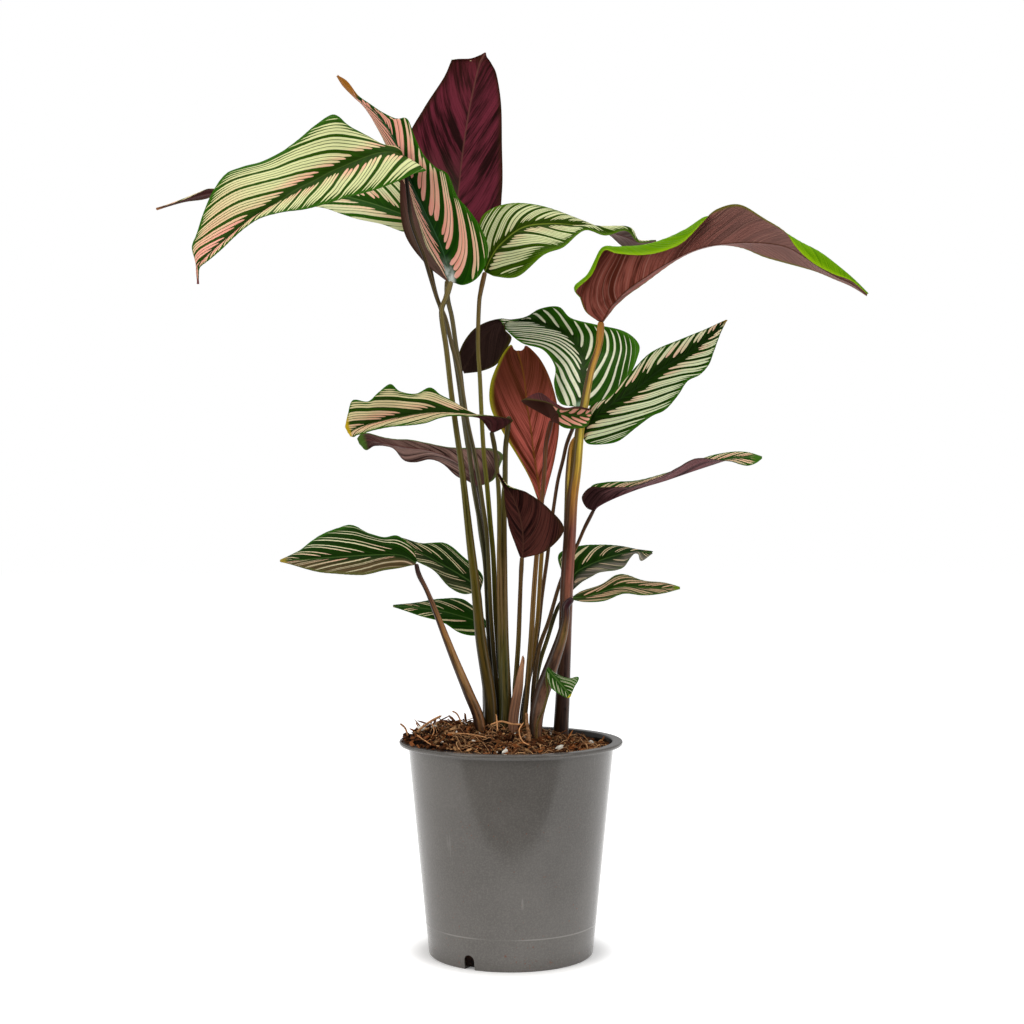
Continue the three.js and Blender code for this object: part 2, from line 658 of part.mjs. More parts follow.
        steps: 8,
      },
    ],
  },
  {
    name: 'edge_on_right',
    color: 'underside',
    midrib: [[593.5, 510.5, 12], [599, 505, 15], [615, 497, 20], [640, 487.5, 28],
      [665, 480, 36], [690, 471.5, 44], [710, 465, 52], [730, 459, 60], [746, 457.5, 66],
      [762, 457.5, 72]],
    left: [[592, 510], [590, 488], [606, 482], [635, 480.5], [660, 475],
      [686, 467], [706, 457], [728, 452], [746, 452], [762, 456.5]],
    right: [[595, 511], [586.5, 507.5], [582, 497], [590, 487.5], [600, 487.5], [614, 487],
      [630, 486.5], [646, 481.5], [662, 475.5], [677, 468], [692, 460], [702, 458.5],
      [712, 459.5], [722, 460.5], [732, 461.5], [740, 464], [748, 465.5], [756, 463],
      [762, 458.5]],
    leftLean: 15, rightLean: -15, arch: 0, waves: 2, ripple: 0.4, steps: 18,
    stalk: [
      {
        carries: 'edge_on_right',
        seat: -0.18,
        path: [[585, 527, 11], [578, 543, 12], [570, 560, 12], [560, 583, 11], [549, 620, 8],
          [540, 645, 5], [535.5, 670, 3], [533, 695, 1], [532.5, 722, 0]],
        radii: [1.3, 1.4, 1.6, 1.8, 2],
        steps: 9,
      },
    ],
  },
  {
    name: 'baby',
    color: 'striped',
    midrib: [[547.5, 668, -20], [551, 673, -21], [558, 681, -24], [564, 688, -28],
      [568, 693, -31], [569.5, 697.5, -33]],
    left: [[548.5, 667], [556, 673.5], [569, 678.5], [579, 677.5], [574.5, 687], [570.5, 697]],
    right: [[546.5, 669], [547, 677], [551, 687.5], [559, 694], [565, 697], [568.5, 698]],
    leftLean: 2, rightLean: -2, arch: 0.5, waves: 2, ripple: 0.5,
    steps: 8, stepsAcross: 2,
    stalk: [
      {
        carries: 'baby',
        seat: 0.65,
        path: [[546.5, 680, -18], [548, 692, -18], [544, 708, -18], [537, 726, -18]],
        radii: [0.8, 1, 1.2, 1.2],
        steps: 7,
      },
    ],
  },
];

// A dry brown sheath stands at the foot of the middle stalks.
const drySheath = {
  branches: [{
    path: [[523.5, 660, -6.3], [520, 680, -7.3], [516, 700, -8], [513.5, 722, -8.4]],
    radii: [1.1, 2.4, 3.6, 3.8, 3.8], steps: 6,
  }],
};

// Pot
// Thin tapered wall, an outward lip, a flat floor with four drain holes, and drain notches cut
// through the foot of the wall.
const underLip = rimHeight - lipThickness;
const bodyTopRadius = rimRadius - lipOverhang;
const drainNotches = 2;
const notchAngle = -119;
const notchWidth = 9;
const notchHeight = 11.5;

function innerRadius(height) {
  const slope = (bodyTopRadius - baseRadius) / underLip;
  return baseRadius + slope * height - wallThickness;
}

function pot() {
  const profile = [
    [0, 0],
    [baseRadius - 0.8, 0],
    [baseRadius, 0.8],
    [bodyTopRadius - 0.5, underLip - 4],
    [bodyTopRadius + 0.8, underLip - 0.6],
    [rimRadius - 0.4, underLip],
    [rimRadius, underLip + 0.8],
    [rimRadius, rimHeight - 0.8],
    [rimRadius - 0.8, rimHeight],
    [innerRadius(rimHeight), rimHeight],
    [innerRadius(floorThickness), floorThickness],
    [0, floorThickness],
  ].map(([radius, height]) => new THREE.Vector2(radius, height));
  const shell = new THREE.LatheGeometry(profile, potSegments);
  shell.rotateX(Math.PI / 2);
  let solid = toSolid(shell);
  for (let i = 0; i < drainNotches; i += 1) {
    const angle = notchAngle + (360 * i) / drainNotches;
    const arch = new THREE.CylinderGeometry(notchWidth / 2, notchWidth / 2, 16, 12);
    arch.rotateZ(Math.PI / 2);
    arch.translate(baseRadius, 0, notchHeight - notchWidth / 2);
    const slot = new THREE.BoxGeometry(16, notchWidth, notchHeight - notchWidth / 2 + 1);
    slot.translate(baseRadius, 0, (notchHeight - notchWidth / 2 - 1) / 2);
    const cutter = toSolid(arch).add(toSolid(slot)).rotate([0, 0, angle]);
    solid = solid.subtract(cutter);
  }
  for (let i = 0; i < 4; i += 1) {
    const cutter = new THREE.CylinderGeometry(4, 4, 20, 12);
    cutter.rotateX(Math.PI / 2);
    cutter.translate(34, 0, 0);
    cutter.rotateZ(Math.PI / 4 + (Math.PI * i) / 2);
    solid = solid.subtract(toSolid(cutter));
  }
  return toGeometry(solid);
}

// Compost
// It fills the pot, heaped about the stalks and left of them and lower at the right and back, with a
// plain hole for each stalk.
const compostLevel = 156;
const compostRings = 8;
const lowSide = THREE.MathUtils.degToRad(40);

function compostHeight(x, y) {
  const tilt = (3 * (x * Math.cos(lowSide) + y * Math.sin(lowSide))) / baseRadius;
  const heap = 15 * Math.exp(-(((x + 6) / 50) ** 2) - ((y - 6) / 40) ** 2);
  const leftHeap = 6 * Math.exp(-(((x + 50) / 22) ** 2) - ((y + 2) / 34) ** 2);
  return compostLevel - tilt + heap + leftHeap;
}

function crumbs(x, y) {
  return 1.1 * Math.sin(0.41 * x + 1) * Math.sin(0.37 * y) + 0.7 * Math.sin(0.83 * x - 0.7 * y);
}

function compost(stalks) {
  const floor = floorThickness + clearance;
  const positions = [0, 0, compostHeight(0, 0)];
  const index = [];
  const ring = (i) => 1 + i * potSegments;
  for (let i = 1; i <= compostRings + 1; i += 1) {
    for (let j = 0; j < potSegments; j += 1) {
      const angle = (2 * Math.PI * j) / potSegments;
      const [across, back] = [Math.cos(angle), Math.sin(angle)];
      const wall = innerRadius(compostLevel) * 0.98;
      const edge = Math.min(compostHeight(wall * across, wall * back), rimHeight - 1.5);
      const radius = i < compostRings ? (wall * i) / compostRings : innerRadius(edge) - clearance;
      const [x, y] = [radius * across, radius * back];
      if (i < compostRings) positions.push(x, y, compostHeight(x, y) + crumbs(x, y));
      if (i === compostRings) positions.push(x, y, edge);
      const foot = innerRadius(floor) - clearance;
      if (i > compostRings) positions.push(foot * across, foot * back, floor);
    }
  }
  positions.push(0, 0, floor);
  const under = positions.length / 3 - 1;
  for (let j = 0; j < potSegments; j += 1) {
    const next = (j + 1) % potSegments;
    index.push(0, ring(0) + j, ring(0) + next);
    index.push(under, ring(compostRings) + next, ring(compostRings) + j);
    for (let i = 0; i < compostRings; i += 1) {
      const [a, b] = [ring(i) + j, ring(i) + next];
      const [c, d] = [ring(i + 1) + next, ring(i + 1) + j];
      index.push(a, d, c, a, c, b);
    }
  }
  const heap = new THREE.BufferGeometry();
  heap.setAttribute('position', new THREE.Float32BufferAttribute(positions, 3));
  heap.setIndex(index);
  let solid = toSolid(heap);
  for (const stalk of stalks) {
    solid = solid.subtract(stalkSolid(stalk, clearance));
  }
  return toGeometry(solid);
}

// Assembly
const plant = new THREE.Group();

function place(name, geometry, material) {
  const mesh = new THREE.Mesh(geometry, material);
  mesh.name = name;
  plant.add(mesh);
}

const stalks = [drySheath];
place('dry_sheath', toGeometry(stalkSolid(drySheath)), finishes.stalk);
for (const leaf of leaves) {
  place(`blade_${leaf.name}`, blade(leaf), finishes[leaf.color]);
  if (!leaf.stalk) continue;
  const stalk = { branches: leaf.stalk };
  stalks.push(stalk);
  place(`stalk_${leaf.name}`, toGeometry(stalkSolid(stalk)), finishes.stalk);
}
place('pot', pot(), finishes.potPlastic);
place('compost', compost(stalks), finishes.compost);

export default plant;
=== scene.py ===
# %% [markdown]
# # A star calathea in a nursery pot
#
# A calathea is all leaves: each long pointed blade stands on its own thin stalk, striped with cream
# and pink above and wine red below. This lesson grows twenty such leaves from three drawn lines each,
# wires the stripes as a pattern that follows the leaf's own veins, and plants them in loose compost
# in a grey plastic pot. The solids of the same plant come first, as a frame that every piece replaces.

# %% Load the frame
import math
from types import SimpleNamespace

import bpy
import numpy as np
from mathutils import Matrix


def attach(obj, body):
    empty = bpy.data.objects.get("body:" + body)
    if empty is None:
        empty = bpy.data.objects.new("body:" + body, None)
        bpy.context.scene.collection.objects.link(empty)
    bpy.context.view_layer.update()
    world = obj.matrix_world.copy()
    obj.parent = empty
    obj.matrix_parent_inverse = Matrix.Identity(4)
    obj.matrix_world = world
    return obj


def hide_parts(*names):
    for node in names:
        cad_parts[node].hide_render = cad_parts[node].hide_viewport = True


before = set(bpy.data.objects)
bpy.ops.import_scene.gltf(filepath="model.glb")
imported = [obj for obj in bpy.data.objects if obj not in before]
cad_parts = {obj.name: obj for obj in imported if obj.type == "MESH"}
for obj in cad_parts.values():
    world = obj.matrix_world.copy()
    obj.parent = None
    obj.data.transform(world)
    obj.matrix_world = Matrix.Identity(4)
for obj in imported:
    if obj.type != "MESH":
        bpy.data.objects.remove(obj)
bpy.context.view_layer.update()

# %% [markdown]
# ## Camera, floor and light
#
# The plant is seen from straight in front, level with its middle, from 1.3 m away. A long lens there
# keeps the pot's rim a thin ellipse. The floor is white and glows a little, as a lit table does, so
# the plant stands free. It ends 26 cm in front of the pot, out of view: the pot's wall leans forward
# and mirrors the floor before it, and where the floor stops, the wall mirrors the dark room instead.
# That draws the dark arch on the front of the pot between its paler flanks.

# %% Camera
MM = 0.001
FRAME_PIXELS = 1024
SENSOR = 36.0
RIM_RADIUS = 85.0
RIM_WIDTH_ON_SHEET = 223
SHEET_SCALE = 2 * RIM_RADIUS / RIM_WIDTH_ON_SHEET
SHEET_AXIS = 511
SHEET_HORIZON = 512
EYE_HEIGHT = 334.5
EYE_DISTANCE = 1300.0

scene = bpy.context.scene
lens = bpy.data.cameras.new("camera")
lens.sensor_width = SENSOR
lens.lens = SENSOR * EYE_DISTANCE / (FRAME_PIXELS * SHEET_SCALE)
camera = bpy.data.objects.new("camera", lens)
camera.location = (SHEET_SCALE * (FRAME_PIXELS / 2 - SHEET_AXIS) * MM, -EYE_DISTANCE * MM, EYE_HEIGHT * MM)
camera.rotation_euler = (math.pi / 2, 0, 0)
scene.collection.objects.link(camera)
scene.camera = camera
scene.view_settings.view_transform = "Standard"
print("lens in millimetres:", round(lens.lens, 2))

# %% Wiring helpers
# A finish is wired from a few kinds of node. Each helper adds one node and hands back its output.


def paint(red, green, blue):
    """A colour given as it looks on a screen, 0 to 255, turned into linear light."""
    part = np.array([red, green, blue]) / 255
    linear = np.where(part <= 0.04045, part / 12.92, ((part + 0.055) / 1.055) ** 2.4)
    return (*linear.tolist(), 1.0)


def shade_of(color, share):
    """A darker shade of a colour: all three parts times the share."""
    return tuple(share * part for part in color)


class Finish:
    """A material under construction, with its shader ready and one method for each kind of node."""

    def __init__(self, name, **shader):
        self.material = bpy.data.materials.new(name)
        self.material.use_nodes = True
        self.tree = self.material.node_tree
        self.shader = self.tree.nodes["Principled BSDF"]
        for socket, value in shader.items():
            self.shader.inputs[socket.replace("_", " ")].default_value = value

    def node(self, kind, *values, **settings):
        made = self.tree.nodes.new(kind)
        for key, value in settings.items():
            setattr(made, key, value)
        for socket, value in zip(made.inputs, values):
            self.feed(socket, value)
        return made

    def feed(self, socket, value):
        if isinstance(value, bpy.types.NodeSocket):
            self.tree.links.new(value, socket)
        elif value is not None:
            socket.default_value = value

    def math(self, operation, *values, clamp=False):
        return self.node("ShaderNodeMath", *values, operation=operation, use_clamp=clamp).outputs[0]

    def times(self, product, *factors):
        for factor in factors:
            product = self.math("MULTIPLY", product, factor)
        return product

    def plus(self, first, second):
        return self.math("ADD", first, second)

    def minus(self, first, second):
        return self.math("SUBTRACT", first, second)

    def scaled(self, value, factor, offset):
        return self.math("MULTIPLY_ADD", value, factor, offset)

    def mix(self, share, first, second):
        """From the first to the second colour by the share; a colour is an output or three numbers."""
        made = self.node("ShaderNodeMix", data_type="RGBA")
        self.feed(made.inputs["Factor"], share)
        for socket, color in zip(made.inputs[6:8], (first, second)):
            self.feed(socket, paint(*color) if isinstance(color, tuple) else color)
        return made.outputs[2]

    def step(self, value, low, high, to_low=0.0, to_high=1.0):
        """Eases from to_low to to_high as the value goes from low to high."""
        made = self.node("ShaderNodeMapRange", value, low, high, to_low, to_high)
        made.interpolation_type = "SMOOTHSTEP"
        return made.outputs[0]

    def attribute(self, name):
        return self.node("ShaderNodeAttribute", attribute_name=name).outputs["Fac"]

    def join(self, x, y, z=0.0):
        return self.node("ShaderNodeCombineXYZ", x, y, z).outputs[0]

    def chance(self, x, y):
        """A random number from 0 to 1 for each pair of whole numbers."""
        spot = self.join(x, y)
        return self.node("ShaderNodeTexWhiteNoise", spot, noise_dimensions="2D").outputs[0]

    def noise(self, vector, scale, detail=3.0, roughness=0.55):
        made = self.node("ShaderNodeTexNoise")
        self.feed(made.inputs["Vector"], vector)
        made.inputs["Scale"].default_value = scale
        made.inputs["Detail"].default_value = detail
        made.inputs["Roughness"].default_value = roughness
        return made.outputs[0]

    def place(self):
        return self.node("ShaderNodeTexCoord").outputs["Object"]

    def bump(self, height, strength, distance):
        made = self.node("ShaderNodeBump")
        made.inputs["Strength"].default_value = strength
        made.inputs["Distance"].default_value = distance
        self.feed(made.inputs["Height"], height)
        self.feed(self.shader.inputs["Normal"], made.outputs[0])

    def color(self, value):
        self.feed(self.shader.inputs["Base Color"], value)

    def roughness(self, value):
        self.feed(self.shader.inputs["Roughness"], value)


# %% Floor and light
FLOOR_HALF_WIDTH = 5.0
FLOOR_FRONT = -0.26
FLOOR_BACK = 8.0
FLOOR_GLOW = 0.62
# Close to the pot's axis, in metres, the floor glows less: a painted shade round the foot, which also lets
# the lamps' soft shadow there show.
FOOT_SHADE = dict(low=0.061, high=0.086, to_low=0.15, to_high=FLOOR_GLOW)
SIDE_BOX = dict(width=0.8, height=1.5, depth=-1.05, level=0.75)
SIDE_LAMPS = (("left_box", -1.25, 12, (1.0, 0.95, 0.88)), ("right_box", 1.25, 10, (1.0, 0.99, 0.97)))
TOP_BOX = dict(size=1.8, depth=-0.3, level=2.3, power=21)
AMBIENT = 0.4
DARK_BELOW = 0.1
HORIZON_FADE = (-0.08, 0.12)


def stage_floor():
    """One large rectangle under the pot, from its front edge to far behind."""
    corners = [(-FLOOR_HALF_WIDTH, FLOOR_FRONT, 0), (FLOOR_HALF_WIDTH, FLOOR_FRONT, 0),
               (FLOOR_HALF_WIDTH, FLOOR_BACK, 0), (-FLOOR_HALF_WIDTH, FLOOR_BACK, 0)]
    mesh = bpy.data.meshes.new("floor")
    mesh.from_pydata(corners, [], [(0, 1, 2, 3)])
    floor = bpy.data.objects.new("floor", mesh)
    scene.collection.objects.link(floor)
    white = Finish("floor_white", Roughness=0.9)
    white.color(paint(250, 250, 250))
    white.shader.inputs["Emission Color"].default_value = (1, 1, 1, 1)
    from_pot = white.node("ShaderNodeVectorMath", white.place(), operation="LENGTH").outputs["Value"]
    white.feed(white.shader.inputs["Emission Strength"], white.step(from_pot, **FOOT_SHADE))
    mesh.materials.append(white.material)


def soft_box(name, width, height, power, place, aim, tint=(1, 1, 1)):
    """A rectangular lamp at a place, turned towards the point that it aims at."""
    lamp = bpy.data.lights.new(name, "AREA")
    lamp.color = tint
    lamp.shape = "RECTANGLE"
    lamp.size, lamp.size_y = width, height
    lamp.energy = power
    holder = bpy.data.objects.new(name, lamp)
    holder.location = place
    facing = np.array(aim) - np.array(place)
    yaw = math.atan2(-facing[0], facing[1])
    pitch = math.atan2(facing[2], math.hypot(facing[0], facing[1])) + math.pi / 2
    holder.rotation_euler = (pitch, 0, yaw)
    scene.collection.objects.link(holder)


def light_room():
    """An even room, dark below the horizon for mirrored light and plain white for the camera."""
    world = bpy.data.worlds.new("studio")
    scene.world = world
    world.use_nodes = True
    tree = world.node_tree
    backdrop = tree.nodes["Background"]
    backdrop.inputs["Color"].default_value = (1, 1, 1, 1)
    direction = tree.nodes.new("ShaderNodeSeparateXYZ")
    tree.links.new(tree.nodes.new("ShaderNodeTexCoord").outputs["Generated"], direction.inputs[0])
    room = tree.nodes.new("ShaderNodeMapRange")
    room.inputs["From Min"].default_value = HORIZON_FADE[0]
    room.inputs["From Max"].default_value = HORIZON_FADE[1]
    room.inputs["To Min"].default_value = DARK_BELOW
    room.inputs["To Max"].default_value = AMBIENT
    tree.links.new(direction.outputs["Z"], room.inputs["Value"])
    ray = tree.nodes.new("ShaderNodeLightPath")
    strength = tree.nodes.new("ShaderNodeMapRange")
    strength.inputs["To Max"].default_value = 1.0
    tree.links.new(room.outputs[0], strength.inputs["To Min"])
    tree.links.new(ray.outputs["Is Camera Ray"], strength.inputs["Value"])
    tree.links.new(strength.outputs[0], backdrop.inputs["Strength"])


stage_floor()
middle = (0, 0, EYE_HEIGHT * MM)
for name, across, power, tint in SIDE_LAMPS:
    place = (across, SIDE_BOX["depth"], SIDE_BOX["level"])
    soft_box(name, SIDE_BOX["width"], SIDE_BOX["height"], power, place, middle, tint)
above = (0, TOP_BOX["depth"], TOP_BOX["level"])
soft_box("top_box", TOP_BOX["size"], TOP_BOX["size"], TOP_BOX["power"], above, middle)
light_room()

# %% [markdown]
# ## The drawing sheet
#
# A leaf is hard to place by numbers in space and easy to trace from the front. So every line of the
# plant is drawn on a flat sheet, as a place across and down, and given a depth in millimetres behind
# the pot's axis. One function turns such points into space, seen from the eye above.


# %% From the sheet into space
def seen(points):
    """Sheet points with depths, shape (n, 3), into millimetres: farther points spread wider."""
    across, down, depth = np.array(points, float).T
    scale = SHEET_SCALE * (EYE_DISTANCE + depth) / EYE_DISTANCE
    height = EYE_HEIGHT + (SHEET_HORIZON - down) * scale
    return np.stack([(across - SHEET_AXIS) * scale, depth, height], axis=1)


def smooth(points, places):
    """Catmull-Rom curve through points along axis 0, at places from 0 to 1.

    Each end is carried on in a straight line, and a point's slope is half the step between its
    neighbours. Works on whole arrays, so rails of points can be blended at once.
    """
    points = np.asarray(points, float)
    ends = [2 * points[:1] - points[1:2], points, 2 * points[-1:] - points[-2:-1]]
    padded = np.concatenate(ends)
    stretch = np.clip(np.asarray(places, float), 0, 1) * (len(points) - 1)
    low = np.minimum(stretch.astype(int), len(points) - 2)
    w = (stretch - low).reshape((-1,) + (1,) * (points.ndim - 1))
    p0, p1, p2, p3 = (padded[low + k] for k in range(4))
    slope1 = 0.5 * (p2 - p0)
    slope2 = 0.5 * (p3 - p1)
    cube = 2 * p1 - 2 * p2 + slope1 + slope2
    square = 3 * (p2 - p1) - 2 * slope1 - slope2
    return p1 + w * (slope1 + w * (square + w * cube))


def travel(points):
    """Distance along a line of points, starting from 0, in their own unit."""
    hops = np.linalg.norm(np.diff(points, axis=0), axis=-1)
    return np.concatenate([np.zeros((1,) + hops.shape[1:]), np.cumsum(hops, axis=0)])


def new_piece(name, points, faces, **values):
    """A mesh object from millimetre points and quads or triangles, with named values at its points."""
    mesh = bpy.data.meshes.new(name)
    mesh.from_pydata((np.asarray(points) * MM).tolist(), [], [tuple(face) for face in faces])
    for key, value in values.items():
        layer = mesh.attributes.new(key, "FLOAT", "POINT")
        layer.data.foreach_set("value", np.asarray(value, np.float32).ravel())
    mesh.shade_smooth()
    piece = bpy.data.objects.new(name, mesh)
    scene.collection.objects.link(piece)
    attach(piece, "root")
    return piece


def joined(parts):
    """One list of points and one of faces out of several, each a pair of points and faces."""
    points, faces, offset = [], [], 0
    for part_points, part_faces in parts:
        points.append(part_points)
        faces += [tuple(offset + k for k in face) for face in part_faces]
        offset += len(part_points)
    return np.concatenate(points), faces


print("one sheet step is", round(SHEET_SCALE, 3), "mm at the pot's axis")

# %% [markdown]
# ## The twenty leaves
#
# Each leaf has three lines from base to tip: its midrib and its left and right margins, as they lie
# with the striped side up. The midrib holds the depths, and a margin leaves that depth by its lean.
# Three leaves roll one margin over, so those have a fold line before the edge. The stalks are listed
# with their leaf, from the top down, with their radii in millimetres. One of them carries another leaf
# as well, and one is cut and carries none.

